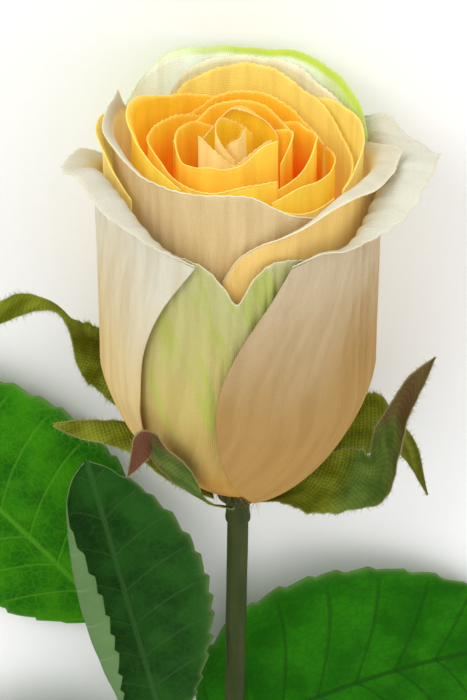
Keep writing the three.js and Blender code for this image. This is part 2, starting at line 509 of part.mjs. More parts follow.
function wire() {
  const path = stemPath(STEM_TOP - 1, -STEM_LENGTH - WIRE_PROUD);
  return named('stem_wire', tube(path, WIRE_RADIUS, 6, 18), STEEL);
}

function cup() {
  const profile = [[0, -COLLAR_LENGTH], [STEM_RADIUS, -COLLAR_LENGTH],
    [COLLAR_RADIUS, -COLLAR_LENGTH + 1], [COLLAR_RADIUS, COLLAR_TOP], [CUP_RADIUS, CUP_FOOT],
    [CUP_RADIUS, 0], [HUB_TOP_RADIUS, HUB_TAPER], [HUB_TOP_RADIUS, CUP_TOP], [0, CUP_TOP]];
  return named('cup', lathe(profile, 20), STEM_GREEN);
}

function core() {
  const foot = CUP_TOP + CLEARANCE;
  const profile = [[0, foot], [CORE_RADIUS, foot], [CORE_RADIUS, CORE_TOP], [0, CORE_TOP]];
  return named('bud_core', lathe(profile, 20), FOAM);
}

// ---- Assembly ------------------------------------------------------------------------------------
function named(name, geometry, material) {
  const mesh = new THREE.Mesh(geometry, material);
  mesh.name = name;
  return mesh;
}

const flower = new THREE.Group();
flower.add(stem(), wire(), cup(), core());
PETALS.forEach((design, order) => flower.add(petal(design, order)));
SEPALS.forEach((design) => flower.add(sepal(design)));

// Lay the flower down: its cut end rests on the surface and its head leans up by the lie angle.
const lie = radians(LIE_ANGLE);
flower.rotation.x = lie - Math.PI / 2;
flower.position.z = STEM_LENGTH * Math.sin(lie) + STEM_RADIUS * Math.cos(lie);

// Height of the stem's axis over a place along the lying stem.
const axisHeight = (y) => flower.position.z + y * Math.tan(lie);

const rose = new THREE.Group();
rose.add(flower);
LEAFLETS.forEach((design) => rose.add(leaflet(design)));
rose.add(rachis('rachis_left', [[-5.6, -104, axisHeight(-104) - 0.4], [-8, -94, axisHeight(-94) - 2.1],
  [-13, -78, 11], [-20, -62, 8], [-27.2, -48.6, 5.2]]));
rose.add(rachis('rachis_right', [[1.8, -128, axisHeight(-128) - 2.9], [1.8, -116, 7.8],
  [-0.6, -100, 7.4], [-4.8, -82.4, 7.6]]));

// The origin is the middle of the underside of the whole rose.
rose.updateMatrixWorld(true);
const box = new THREE.Box3().setFromObject(rose, true);
const middle = box.getCenter(new THREE.Vector3());
rose.position.set(-middle.x, -middle.y, -box.min.z);

export default rose;
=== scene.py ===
"""An artificial cut rose lying on a pale floor.

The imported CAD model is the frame. Every piece here is a surface worked out with numpy in the same
frame and stands for the CAD solid of its name. Sizes below are millimetres and degrees; meshes are
metres.

A petal is a grid. Across it, s runs from its left margin to its right margin. Up it, the first rows
follow the belly, radius = reach * sqrt(1 - (1 - t)^BELLY_POWER) with t the height above the foot as
a share of BELLY_RISE, leaning to the rim radius above SWING_TOP. The last rows are the lip, an arc
that turns outwards by the roll over the lip's length.
"""
import math

import bpy
import numpy as np
from mathutils import Matrix, Vector


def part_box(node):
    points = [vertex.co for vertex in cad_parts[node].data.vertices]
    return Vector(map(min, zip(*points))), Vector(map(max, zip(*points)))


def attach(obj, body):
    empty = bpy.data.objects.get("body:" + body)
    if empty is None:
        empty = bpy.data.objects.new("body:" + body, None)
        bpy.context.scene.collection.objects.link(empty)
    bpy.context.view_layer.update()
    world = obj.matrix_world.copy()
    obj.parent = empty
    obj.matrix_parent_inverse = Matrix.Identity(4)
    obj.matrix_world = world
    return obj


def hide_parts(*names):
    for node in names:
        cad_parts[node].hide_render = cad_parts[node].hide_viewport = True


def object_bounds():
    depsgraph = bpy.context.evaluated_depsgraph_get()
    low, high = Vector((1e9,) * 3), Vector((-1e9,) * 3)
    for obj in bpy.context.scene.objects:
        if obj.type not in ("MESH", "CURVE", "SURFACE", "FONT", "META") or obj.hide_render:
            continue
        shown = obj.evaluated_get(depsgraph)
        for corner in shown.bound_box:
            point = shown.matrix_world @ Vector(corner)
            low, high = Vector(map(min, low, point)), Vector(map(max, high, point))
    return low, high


MM = 0.001

# ---- Sizes shared with the CAD model ---------------------------------------------------------------
HEAD_REST = (26.6, 33)          # radius and height where the head touches the surface
BELLY_RISE = 34
BELLY_POWER = 1.3
SWING_TOP = 40                  # height above which a petal leans to its rim radius
PETAL_PITCH = 0.8               # from one petal's foot to the next one's
FIRST_PETAL = -1.6
CLEARANCE = 0.35
STEM_RADIUS = 2.2
STEM_BOW = 1.0                  # how far the stem bows to one side
STEM_LENGTH = 234
WIRE_RADIUS = 0.5
WIRE_PROUD = 1.5
COLLAR_LENGTH = 10
CUP_RADIUS = 4.4
HUB_TOP = 24
HUB_TOP_RADIUS = 2.9
CORE_RADIUS = 2.2
CORE_TOP = 62
RACHIS_RADIUS = 0.9
FABRIC = 0.45                   # thickness of a leaflet in the CAD model

# ---- Sizes of the looks ----------------------------------------------------------------------------
CLOTH = 0.22                    # thickness of the finished cloth
NARROWEST_CUT = 10.0            # least width that a cut's width is taken as
PETAL_THREAD = 0.52             # pitch of the petals' weave
SEPAL_THREAD = 0.8
LEAF_THREAD = 0.45
PETAL_FRAY = (0.45, 0.08)       # length and width of the loose threads on a rim
FOOT_FRAY = (2.4, 0.16)         # the same on a petal's torn foot
SEPAL_FRAY = (0.6, 0.09)
FOOT_THREADS = 110
SEPAL_THREADS = 9               # threads to a millimetre of margin
TORN_FEET = 3                   # how many outer petals show a torn foot
BODY_ROWS = 110                 # rows of a petal's grid below its lip
LIP_ROWS = 20
COLUMN_PITCH = 0.42             # between two columns of a petal's grid
LIP_EASE = 1.7                  # above 1, a lip turns mostly at its start
CREST_WAVE = 0.22               # how far a petal's crest waves up and down
LIP_WAVE = 0.25                 # how far the end of a long lip waves
FACE_WAVE = 0.12                # how far a petal's face waves in and out
CRINKLE_PITCH = 5.5             # degrees between the creases of a crinkled petal
HUG_REACH = 27.9                # belly radius that the sepals keep clear of
SEPAL_GAP = 1.3                 # between that belly and the sepals
SEPAL_GRID = (70, 220)          # columns and rows
NOTCH = 0.035                   # how rough a sepal's margins are, as a share of its width
LEAF_GRID = (97, 260)
OVATE = 0.82                    # an ovate blade is widest nearer its foot the smaller this is
TOOTH_PITCH = 5.2
TOOTH_DEPTH = 0.95
TOOTH_BACK = 0.8                # share of its pitch over which a tooth rises
CURL_START = 0.3                # share of the half-width where a rolled margin starts to turn
VEIN_PITCH = 9.0
VEIN_SLANT = 0.72               # how far a side vein climbs for each millimetre outwards
VEIN_CURVE = 0.012              # how much less it climbs further out
SOCKET_DEPTH = 1.8              # how far the stem is plugged into the collar
STEM_SIDES = 40
LATHE_SIDES = 48
RACHIS_SIDES = 24
FLOOR_HALF = 3.0                # metres
FLOOR_DROP = 0.0002             # metres below the lowest point
VIEW_TILT = 35                  # the camera stands this far above the flower's front, towards its top
VIEW_DISTANCE = 700
VIEW_LENS = 180
VIEW_AIM = [-0.9, -5.4, 37.2]   # in the flower's frame

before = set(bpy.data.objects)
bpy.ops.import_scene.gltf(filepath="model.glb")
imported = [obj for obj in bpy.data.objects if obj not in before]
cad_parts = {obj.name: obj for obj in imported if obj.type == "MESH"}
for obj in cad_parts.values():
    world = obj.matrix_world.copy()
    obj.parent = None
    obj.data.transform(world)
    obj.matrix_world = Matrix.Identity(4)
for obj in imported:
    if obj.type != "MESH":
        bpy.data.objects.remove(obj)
CAD_BOX = [list(corner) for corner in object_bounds()]


# ---- The flower's own frame ------------------------------------------------------------------------
LIE = math.atan((HEAD_REST[0] - STEM_RADIUS) / (STEM_LENGTH + HEAD_REST[1]))
AXIS = np.array([0, math.cos(LIE), math.sin(LIE)])
FRONT = np.array([0, -math.sin(LIE), math.cos(LIE)])
SIDE = np.array([1.0, 0, 0])


def flower_origin():
    """The flower's origin in millimetres, from the top rim of the bud core."""
    low, high = (np.array(corner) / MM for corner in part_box("bud_core"))
    rise = CORE_TOP * AXIS + CORE_RADIUS * FRONT * np.array([0, -1, 1])
    return np.array([(low[0] + high[0]) / 2, high[1] - rise[1], high[2] - rise[2]])


ORIGIN = flower_origin()


def lay(points):
    """Points of the flower frame (x, y, z with the front at -y) in the lying frame."""
    x, y, z = np.moveaxis(np.asarray(points, float), -1, 0)
    return ORIGIN + x[..., None] * SIDE - y[..., None] * FRONT + z[..., None] * AXIS


def around(azimuth, radius, height):
    """Points of the flower frame from azimuth, radius and height."""
    angle = np.radians(azimuth)
    x, y = radius * np.sin(angle), -radius * np.cos(angle)
    return np.stack(np.broadcast_arrays(x, y, height), -1)


# ---- Number helpers --------------------------------------------------------------------------------
def mix(a, b, t):
    return a + (b - a) * t


def smooth(t):
    t = np.clip(t, 0, 1)
    return t * t * (3 - 2 * t)


def through(rows):
    """A smooth curve through rows [x, a, b, ...]; it gives the columns a, b, ... at any x."""
    rows = np.array(rows, float)
    x, values = rows[:, 0], rows[:, 1:]
    low = np.maximum(np.arange(len(x)) - 1, 0)
    high = np.minimum(np.arange(len(x)) + 1, len(x) - 1)
    slopes = (values[high] - values[low]) / (x[high] - x[low])[:, None]

    def at(where):
        where = np.asarray(where, float)
        i = np.clip(np.searchsorted(x, where, side="right") - 1, 0, len(x) - 2)
        width = x[i + 1] - x[i]
        t = np.clip((where - x[i]) / width, 0, 1)[..., None]
        pull = (slopes[i] * (1 - t) - slopes[i + 1] * t) * t * (1 - t) * width[..., None]
        blend = mix(values[i], values[i + 1], t * t * (3 - 2 * t)) + pull
        return np.moveaxis(blend, -1, 0)

    return at


def ripple(seed, *coordinates, octaves=3):
    """Smooth seeded noise from -1 to 1 over coordinates whose bumps are about one unit wide."""
    rng = np.random.default_rng(seed)
    total = 0
    for octave in range(octaves):
        for _ in range(3):
            phase = rng.uniform(0, 2 * math.pi)
            turn = rng.uniform(-1, 1, len(coordinates))
            turn *= 2.2 * 1.9**octave / np.linalg.norm(turn)
            total = total + np.sin(sum(c * k for c, k in zip(coordinates, turn)) + phase) * 0.55**octave
    return total / 4


# ---- Meshes ----------------------------------------------------------------------------------------
def new_object(name, data):
    thing = bpy.data.objects.new(name, data)
    bpy.context.scene.collection.objects.link(thing)
    return thing


def mesh_piece(name, vertices, faces, material, uv=None, dye=None, edge=None):
    """A piece in the lying frame from vertices in millimetres.

    faces is a list of arrays of quads and triangles; uv, dye and edge are per vertex.
    """
    mesh = bpy.data.meshes.new(name)
    corners = np.concatenate([np.asarray(part).ravel() for part in faces]).astype(np.int32)
    sides = np.concatenate([np.full(len(part), part.shape[1]) for part in faces])
    starts = (np.cumsum(sides) - sides).astype(np.int32)
    mesh.vertices.add(len(vertices))
    mesh.vertices.foreach_set("co", (np.asarray(vertices) * MM).astype(np.float32).ravel())
    mesh.loops.add(len(corners))
    mesh.loops.foreach_set("vertex_index", corners)
    mesh.polygons.add(len(sides))
    mesh.polygons.foreach_set("loop_start", starts)
    mesh.polygons.foreach_set("use_smooth", np.ones(len(sides), bool))
    if uv is not None:
        layer = mesh.uv_layers.new(name="cloth")
        layer.data.foreach_set("uv", np.asarray(uv, np.float32)[corners].ravel())
    if dye is not None:
        attribute = mesh.color_attributes.new("dye", "FLOAT_COLOR", "POINT")
        attribute.data.foreach_set("color", np.asarray(dye, np.float32).ravel())
    if edge is not None:
        attribute = mesh.attributes.new("edge", "FLOAT", "POINT")
        attribute.data.foreach_set("value", np.asarray(edge, np.float32))
    mesh.update()
    mesh.validate()
    mesh.materials.append(material)
    piece = new_object(name, mesh)
    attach(piece, "root")
    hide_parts(name)
    return piece


def unit(vectors):
    return vectors / np.maximum(np.linalg.norm(vectors, axis=-1, keepdims=True), 1e-9)


def grid_normals(points):
    return unit(np.cross(np.gradient(points, axis=0), np.gradient(points, axis=1)))


def cloth_shell(points, thickness):
    """Both faces and the edge of a sheet about a grid of points: vertices and quads."""
    columns, rows = points.shape[:2]
    offset = grid_normals(points) * thickness / 2
    vertices = np.concatenate([(points + offset).reshape(-1, 3), (points - offset).reshape(-1, 3)])
    ids = np.arange(columns * rows).reshape(columns, rows)
    front = np.stack([ids[:-1, :-1], ids[1:, :-1], ids[1:, 1:], ids[:-1, 1:]], -1).reshape(-1, 4)
    back = front[:, ::-1] + columns * rows
    loop = np.concatenate([ids[:-1, 0], ids[-1, :-1], ids[:0:-1, -1], ids[0, :0:-1]])
    ahead = np.roll(loop, -1)
    border = np.stack([loop, loop + columns * rows, ahead + columns * rows, ahead], -1)
    return vertices, np.concatenate([front, back, border])


def threads(base, outwards, sideways, count, length, width, seed):
    """Loose threads along an edge: thin closed spikes on points of base, leaning at random about outwards."""
    rng = np.random.default_rng(seed)
    spot = rng.uniform(0, len(base) - 1.001, count)
    i, t = spot.astype(int), (spot % 1)[:, None]
    foot, out, side = (mix(part[i], part[i + 1], t) for part in (base, outwards, sideways))
    normal = np.cross(out, side)
    lean = rng.normal(0, 0.5, (count, 1))
    lift = rng.normal(0, 0.3, (count, 1))
    reach = length * rng.gamma(2.2, 0.45, (count, 1)).clip(0.2, 3)
    tip = foot + unit(out + side * lean + normal * lift) * reach
    root = foot - out * width * 2
    corners = [root + side * width / 2, root - side * width / 2, root + normal * width / 2, tip]
    start = np.arange(count)[:, None] * 4
    faces = np.concatenate([start + face for face in ([0, 2, 1], [0, 1, 3], [1, 2, 3], [2, 0, 3])])
    return np.stack(corners, 1).reshape(-1, 3), faces


def cloth_lengths(points):
    """Millimetres across and along a grid, from its middle column and its foot."""
    across = np.linalg.norm(np.diff(points, axis=0), axis=-1)
    across = np.concatenate([np.zeros((1, points.shape[1])), np.cumsum(across, 0)])
    across -= across[len(across) // 2]
    along = np.linalg.norm(np.diff(points, axis=1), axis=-1)
    along = np.concatenate([np.zeros((points.shape[0], 1)), np.cumsum(along, 1)], 1)
    return across, along


def cloth_piece(name, points, material, shares, edge, fringes=(), turned=0.0, feet=(), flat=None):
    """A sheet of cloth with its UV in millimetres, its dye shares and its frayed edges.

    shares are two grids from 0 to 1; the dye's third channel is 0 on the outer face and 1 on the inner,
    or the other way round where turned is 1. flat gives the UV's two grids where they aren't simply
    measured along the cloth.
    A fringe is (base, outwards, sideways, count, length, width, seed); feet are fringes in the foot's dye.
    """
    across, along = cloth_lengths(points)
    vertices, quads = cloth_shell(points, CLOTH)
    count = edge.size
    face = np.repeat([0.0, 1.0], count)
    first, second = (np.tile(np.broadcast_to(share, edge.shape).ravel(), 2) for share in shares)
    face = np.abs(face - np.tile(np.broadcast_to(turned, edge.shape).ravel(), 2))
    dye = np.stack([first, second, face, np.ones(2 * count)], -1)
    uv = np.tile(np.stack([grid.ravel() for grid in flat or (across, along)], -1), (2, 1))
    edge = np.tile(edge.ravel(), 2)
    triangles = []
    shades = [((1.0, 0.6, 0.0, 1.0), 1.0)] * len(fringes) + [((0.0, 0.0, 0.0, 1.0), 0.0)] * len(feet)
    for fringe, (shade, hem) in zip([*fringes, *feet], shades):
        spikes, faces = threads(*fringe)
        triangles.append(faces + len(vertices))
        vertices = np.concatenate([vertices, spikes])
        loose = len(spikes)
        dye = np.concatenate([dye, np.tile(shade, (loose, 1))])
        uv = np.concatenate([uv, np.zeros((loose, 2))])
        edge = np.concatenate([edge, np.full(loose, hem)])
    piece = mesh_piece(name, vertices, [quads, *triangles], material, uv, dye, edge)
    declare_cloth(points, across, along)


def declare_cloth(points, across, along):
    """Works out a cut's width, no less than the least that a sheet may be, its length along its middle and
    its cells' diagonals; nothing is declared or kept. A cut narrower than the least that a sheet may be is
    declared at that width, with its own area.
    """
    width = max((across[-1] - across[0]).max(), NARROWEST_CUT) * MM
    length = along[len(along) // 2, -1] * MM
    first = points[1:, 1:] - points[:-1, :-1]
    second = points[1:, :-1] - points[:-1, 1:]


def edge_fringe(points, inward, column=None, row=None):
    """One border of a grid: its points, outward and sideways directions, and its length.

    inward is the column or row further in that the outward direction is taken from.
    """
    if row is not None:
        base, inner = points[:, row], points[:, inward]
    else:
        base, inner = points[column], points[inward]
    length = np.linalg.norm(np.diff(base, axis=0), axis=1).sum()
    return base, unit(base - inner), unit(np.gradient(base, axis=0)), length


# ---- Shader maths ----------------------------------------------------------------------------------
class Field:
    """A node socket that adds, multiplies and so on as a number does."""

    def __init__(self, look, socket):
        self.look = look
        self.socket = socket

    def math(self, operation, *others):
        return self.look.node("ShaderNodeMath", self, *others, operation=operation)

    def __add__(self, other):
        return self.math("ADD", other)

    def __mul__(self, other):
        return self.math("MULTIPLY", other)

    def __sub__(self, other):
        return self.math("SUBTRACT", other)

    def __truediv__(self, other):
        return self.math("DIVIDE", other)

    def __rsub__(self, other):
        return self.look.node("ShaderNodeMath", other, self, operation="SUBTRACT")

    __radd__ = __add__
    __rmul__ = __mul__

    def sine(self):
        return self.math("SINE")

    def size(self):
        return self.math("ABSOLUTE")

    def between(self, low, high):
        """0 below low, 1 above high, smooth in between."""
        node = self.look.tree.nodes.new("ShaderNodeMapRange")
        node.interpolation_type = "SMOOTHSTEP"
        self.look.put(node.inputs[0], self)
        self.look.put(node.inputs[1], low)
        self.look.put(node.inputs[2], high)
        return Field(self.look, node.outputs[0])


class Look:
    """A material with a Principled shader, and the fields that drive it."""

    def __init__(self, name, **constants):
        self.material = bpy.data.materials.new(name)
        self.material.use_nodes = True
        self.tree = self.material.node_tree
        self.shader = self.tree.nodes["Principled BSDF"]
        for socket, value in constants.items():
            self.shader.inputs[socket.replace("_", " ")].default_value = value

    def put(self, socket, value):
        if isinstance(value, Field):
            self.tree.links.new(value.socket, socket)
        elif isinstance(value, (tuple, list)) and len(value) == 3 and socket.type == "RGBA":
            socket.default_value = (*value, 1)
        else:
            socket.default_value = value

    def node(self, kind, *values, out=0, **settings):
        """Output number out of a new node with these settings and these first inputs."""
        node = self.tree.nodes.new(kind)
        for key, value in settings.items():
            setattr(node, key, value)
        for socket, value in zip(node.inputs, values):
            if value is not None:
                self.put(socket, value)
        return Field(self, node.outputs[out])

    def split(self, vector):
        node = self.tree.nodes.new("ShaderNodeSeparateXYZ")
        self.put(node.inputs[0], vector)
        return [Field(self, output) for output in node.outputs]

    def vector(self, x, y, z=0):
        return self.node("ShaderNodeCombineXYZ", x, y, z)

    def blend(self, factor, a, b, blend_type="MIX"):
        """Colour a turning into colour b."""
        node = self.tree.nodes.new("ShaderNodeMix")
        node.data_type = "RGBA"
        node.blend_type = blend_type
        self.put(node.inputs[0], factor)
        self.put(node.inputs[6], a)
        self.put(node.inputs[7], b)
        return Field(self, node.outputs[2])

    def noise(self, vector, detail=2.0):
        """Cloudy noise from 0 to 1 with bumps about one unit wide."""
        node = self.tree.nodes.new("ShaderNodeTexNoise")
        self.put(node.inputs["Vector"], vector)
        node.inputs["Scale"].default_value = 1.0
        node.inputs["Detail"].default_value = detail
        return Field(self, node.outputs["Fac"])

    def cloth_uv(self):
        """Millimetres across and along the cloth."""
        x, y, _ = self.split(self.node("ShaderNodeUVMap", uv_map="cloth"))
        return x, y

    def dye(self):
        """The three shares that a cloth piece carries; the third is 1 on its inner face."""
        return self.split(self.node("ShaderNodeAttribute", attribute_name="dye", out=0))

    def edge(self):
        """1 on the cut edge of the cloth, fading to 0 inside it."""
        return self.node("ShaderNodeAttribute", attribute_name="edge", out=2)

    def place(self):
        """The three object coordinates, in metres."""
        return self.split(self.node("ShaderNodeTexCoord", out=3))

    def bump(self, height, distance, strength=1.0, under=None):
        node = self.tree.nodes.new("ShaderNodeBump")
        node.inputs["Strength"].default_value = strength
        node.inputs["Distance"].default_value = distance
        self.put(node.inputs["Height"], height)
        if under is not None:
            self.put(node.inputs["Normal"], under)
        return Field(self, node.outputs[0])

    def finish(self, **fields):
        for socket, value in fields.items():
            self.put(self.shader.inputs[socket.replace("_", " ")], value)
        return self.material


# ---- Materials -------------------------------------------------------------------------------------
def weave(x, y, pitch, slant=1.0):
    """Height from 0 to 1 of a plain weave of this pitch, its threads slanting across the cloth."""
    turn = 2 * math.pi / pitch * math.sqrt(0.5)
    return ((x * slant + y) * turn).sine() * ((x - y * slant) * turn).sine() * 0.5 + 0.5


PALE_HEM = (0.84, 0.8, 0.58)
GOLD_HEM = (0.94, 0.74, 0.2)


def petal_look(name, outside, inside, lip, painted_glow, hem=PALE_HEM, streak=None, stain=None, lip_left=None,
               painted_crevice_shade=False):
    """Dyed petal cloth whose colour also glows at the strength painted_glow, a painted light standing in for
    light through the cloth and between the petals in their shade.

    outside and inside are (foot, middle, rim) colours, lip is the rolled edge, and lip_left that edge
    left of the middle. hem is the cut edge. With painted_crevice_shade the foot's redder colour reaches
    further up: painted shade for the crevices between the inner petals, over the dye's own redder foot.
    """
    look = Look(name, Roughness=0.85, Emission_Strength=painted_glow, Specular_IOR_Level=0.06)
    x, y = look.cloth_uv()
    rise, curl, inner = look.dye()
    cloud = look.noise(look.vector(x * 0.07, y * 0.05, rise), detail=3)
    level = rise + (cloud - 0.5) * 0.3
    low, high = level.between(0.0, 0.62), level.between(0.5, 1.0)
    # Painted shade: the foot's darker red is carried further up to darken the crevices between the inner
    # petals.
    if painted_crevice_shade:
        low, high = level.between(0.4, 0.84), level.between(0.8, 1.0)
    outer = look.blend(high, look.blend(low, outside[0], outside[1]), outside[2])
    inward = look.blend(high, look.blend(low, inside[0], inside[1]), inside[2])
    colour = look.blend(inner, outer, inward)
    if streak:
        run = look.noise(look.vector((x * 0.9 + y * 0.35) * 0.2, (y - x * 0.3) * 0.035), detail=4)
        band = run.between(0.47, 0.62) * rise.between(0.28, 0.5)
        colour = look.blend(band * 0.6, colour, streak)
    if stain:
        patch = look.noise(look.vector(x * 0.1, y * 0.1, 4.0), detail=2).between(0.42, 0.6)
        colour = look.blend(patch * (1 - rise.between(0.2, 0.5)) * 0.5, colour, stain)
    if lip_left:
        colour = look.blend((cloud * 12 - x).between(12.0, 34.0) * inner * 0.8, colour, lip)
        lip = look.blend((x + cloud * 12).between(8.0, 24.0), lip, lip_left)
    colour = look.blend(curl.between(0.0, 0.5), colour, lip)
    cloth = weave(x, y, PETAL_THREAD, 0.8)
    slub = look.noise(look.vector(x * 0.5, y * 3.5), detail=2)
    thick = cloth * 0.75 + slub * 0.35
    gaps = (1 - thick.between(0.15, 0.85)) * 0.4
    colour = look.blend(gaps, colour, (0.66, 0.52, 0.34), "MULTIPLY")
    colour = look.blend(look.edge() * 0.8, colour, hem)
    crease = look.noise(look.vector(x * 0.3, y * 0.035), detail=4)
    # Painted shade: the colour is darkened in the hollows of the creases, where shade would fall on the
    # wrinkles.
    painted_crease_shade = (1 - crease.between(0.36, 0.6)) * (1 - curl * 0.7) * 0.26
    colour = look.blend(painted_crease_shade, colour, (0.68, 0.56, 0.38), "MULTIPLY")
    soft = look.bump(crease, 1.1 * MM, 0.7)
    normal = look.bump(thick, 0.12 * MM, 0.7, soft)
    # Painted light: the cloth's own colour is emitted at the strength painted_glow to lighten the petals'
    # shade.
    return look.finish(Base_Color=colour, Normal=normal, Emission_Color=colour)


# painted_glow is the strength of each cloth's painted light, which lightens the shade between the petals.
DYES = {
    "peach": dict(
        painted_glow=0.02,
        outside=[(0.66, 0.41, 0.075), (0.68, 0.55, 0.29), (0.7, 0.68, 0.56)],
        inside=[(0.8, 0.4, 0.04), (0.82, 0.58, 0.18), (0.76, 0.7, 0.5)],
        lip=(0.68, 0.67, 0.56)),
    # The peach cloth darker on its outside: painted shade for the right outer petal, which is the same peach
    # cloth lit less.
    "tan": dict(
        painted_glow=0.02,
        outside=[(0.48, 0.28, 0.08), (0.43, 0.275, 0.105), (0.6, 0.5, 0.34)],
        inside=[(0.8, 0.36, 0.03), (0.82, 0.56, 0.16), (0.78, 0.72, 0.5)],
        lip=(0.76, 0.77, 0.66)),
    "blush": dict(
        painted_glow=0.1,
        outside=[(0.76, 0.42, 0.07), (0.7, 0.47, 0.18), (0.66, 0.51, 0.27)],
        inside=[(0.84, 0.42, 0.04), (0.88, 0.7, 0.3), (0.9, 0.84, 0.6)],
        lip=(0.6, 0.56, 0.42)),
    "honey": dict(
        painted_glow=0.14,
        outside=[(0.8, 0.36, 0.03), (0.82, 0.48, 0.08), (0.8, 0.56, 0.19)],
        inside=[(0.84, 0.3, 0.01), (0.84, 0.5, 0.08), (0.82, 0.68, 0.36)],
        lip=(0.66, 0.63, 0.49)),
    "cream": dict(
        painted_glow=0.24,
        outside=[(0.8, 0.55, 0.16), (0.8, 0.72, 0.42), (0.78, 0.76, 0.56)],
        inside=[(0.8, 0.48, 0.06), (0.78, 0.66, 0.3), (0.74, 0.73, 0.5)],
        lip=(0.78, 0.78, 0.6)),
    "green_tint": dict(
        painted_glow=0.02,
        outside=[(0.6, 0.33, 0.08), (0.56, 0.48, 0.17), (0.52, 0.54, 0.24)],
        inside=[(0.8, 0.5, 0.1), (0.76, 0.66, 0.3), (0.66, 0.7, 0.34)],
        lip=(0.56, 0.6, 0.24), streak=(0.42, 0.52, 0.08), stain=(0.6, 0.3, 0.05)),
    "mint": dict(
        painted_glow=0.3,
        outside=[(0.62, 0.42, 0.12), (0.64, 0.6, 0.3), (0.6, 0.68, 0.34)],
        inside=[(0.76, 0.76, 0.5), (0.77, 0.85, 0.7), (0.8, 0.89, 0.8)],
        lip=(0.46, 0.6, 0.07), hem=(0.56, 0.66, 0.2), lip_left=(0.74, 0.84, 0.6)),
    "yellow": dict(
        painted_glow=0.26, hem=GOLD_HEM,
        outside=[(0.82, 0.26, 0.006), (0.82, 0.48, 0.05), (0.82, 0.64, 0.2)],
        inside=[(0.8, 0.18, 0.002), (0.82, 0.48, 0.03), (0.82, 0.68, 0.17)],
        lip=(0.82, 0.62, 0.14)),
    "gold": dict(
        painted_glow=0.3, painted_crevice_shade=True, hem=GOLD_HEM,
        outside=[(0.82, 0.14, 0.002), (0.84, 0.43, 0.01), (0.86, 0.62, 0.07)],
        inside=[(0.8, 0.05, 0.001), (0.83, 0.21, 0.002), (0.85, 0.52, 0.03)],
        lip=(0.82, 0.52, 0.06)),
    "orange": dict(
        painted_glow=0.28, painted_crevice_shade=True, hem=GOLD_HEM,
        outside=[(0.8, 0.08, 0.001), (0.84, 0.36, 0.008), (0.86, 0.6, 0.06)],
        inside=[(0.8, 0.03, 0.001), (0.84, 0.12, 0.001), (0.86, 0.5, 0.03)],
        lip=(0.82, 0.5, 0.04)),
    "bud": dict(
        painted_glow=0.22, hem=(0.9, 0.66, 0.24),
        outside=[(0.84, 0.4, 0.03), (0.86, 0.6, 0.14), (0.88, 0.74, 0.32)],
        inside=[(0.82, 0.24, 0.002), (0.86, 0.42, 0.004), (0.88, 0.6, 0.03)],
        lip=(0.8, 0.52, 0.12)),
}
PETAL_CLOTH = {dye: petal_look("cloth_" + dye, **shades) for dye, shades in DYES.items()}


def sepal_look():
    """Coarse olive cloth with pale frayed borders and red-brown tips."""
    look = Look("cloth_sepal", Roughness=0.9, Specular_IOR_Level=0.08)
    x, y = look.cloth_uv()
    along, red, inner = look.dye()
    hem = look.edge()
    cloud = look.noise(look.vector(x * 0.18, y * 0.12), detail=4)
    outside = look.blend(cloud.between(0.35, 0.65), (0.065, 0.13, 0.018), (0.15, 0.23, 0.04))
    inside = look.blend(cloud.between(0.3, 0.7), (0.12, 0.14, 0.003), (0.28, 0.35, 0.03))
    colour = look.blend(inner, outside, inside)
    blush = (along + (cloud - 0.5) * 0.4).between(0.4, 0.75) * red
    colour = look.blend(blush * 0.85, colour, (0.2, 0.06, 0.045))
    cloth = weave(x, y, SEPAL_THREAD, 0.25)
    fuzz = look.noise(look.vector(x * 4, y * 4), detail=2)
    colour = look.blend((1 - cloth) * 0.55, colour, (0.42, 0.42, 0.2), "MULTIPLY")
    colour = look.blend(hem.between(0.5, 1.0) * 0.6, colour, (0.42, 0.42, 0.18))
    normal = look.bump(cloth * 0.7 + fuzz * 0.5, 0.3 * MM, 0.8)
    return look.finish(Base_Color=colour, Normal=normal)


def leaf_look(name, blade, shade, vein, under, gloss):
    """Printed leaf cloth with pressed veins. Across is x and along the midrib is y, in millimetres."""
    look = Look(name, Specular_IOR_Level=0.03)
    x, y = look.cloth_uv()
    _, side, inner = look.dye()
    hem = look.edge()
    out = x.size()
    midrib = 1 - out.between(0.25, 0.85)
    climb = (y - out * VEIN_SLANT + out * out * VEIN_CURVE) / VEIN_PITCH
    run = look.node("ShaderNodeMath", climb, 0.5, operation="PINGPONG")
    rib = 1 - (run * VEIN_PITCH).between(0.1, 0.55)
    rib = rib * (1 - side.between(0.75, 1.0))
    net = look.node("ShaderNodeTexVoronoi", look.vector(x, y), feature="DISTANCE_TO_EDGE")
    net.socket.node.inputs["Scale"].default_value = 0.55
    mesh_vein = 1 - net.between(0.02, 0.12)
    cloud = look.noise(look.vector(x * 0.09, y * 0.09), detail=5)
    grain = weave(x, y, LEAF_THREAD, 0.3)
    colour = look.blend(cloud.between(0.35, 0.65), shade, blade)
    colour = look.blend(mesh_vein * 0.22, colour, vein)
    colour = look.blend(rib * 0.5, colour, vein)
    colour = look.blend(midrib * 0.75, colour, vein)
    colour = look.blend(grain * 0.16, colour, (1.0, 1.0, 0.7), "SOFT_LIGHT")
    colour = look.blend(hem * 0.35, colour, (0.3, 0.42, 0.14))
    back = look.blend(cloud * 0.6 + rib * 0.3, under, (0.2, 0.32, 0.13))
    colour = look.blend(inner, colour, back)
    roughness = cloud * 0.2 + gloss + inner * 0.2
    pressed = look.bump(1 - (midrib * 0.8 + rib * 0.6 + mesh_vein * 0.2), 0.35 * MM, 0.7)
    normal = look.bump(grain, 0.06 * MM, 0.5, pressed)
    return look.finish(Base_Color=colour, Roughness=roughness, Normal=normal)


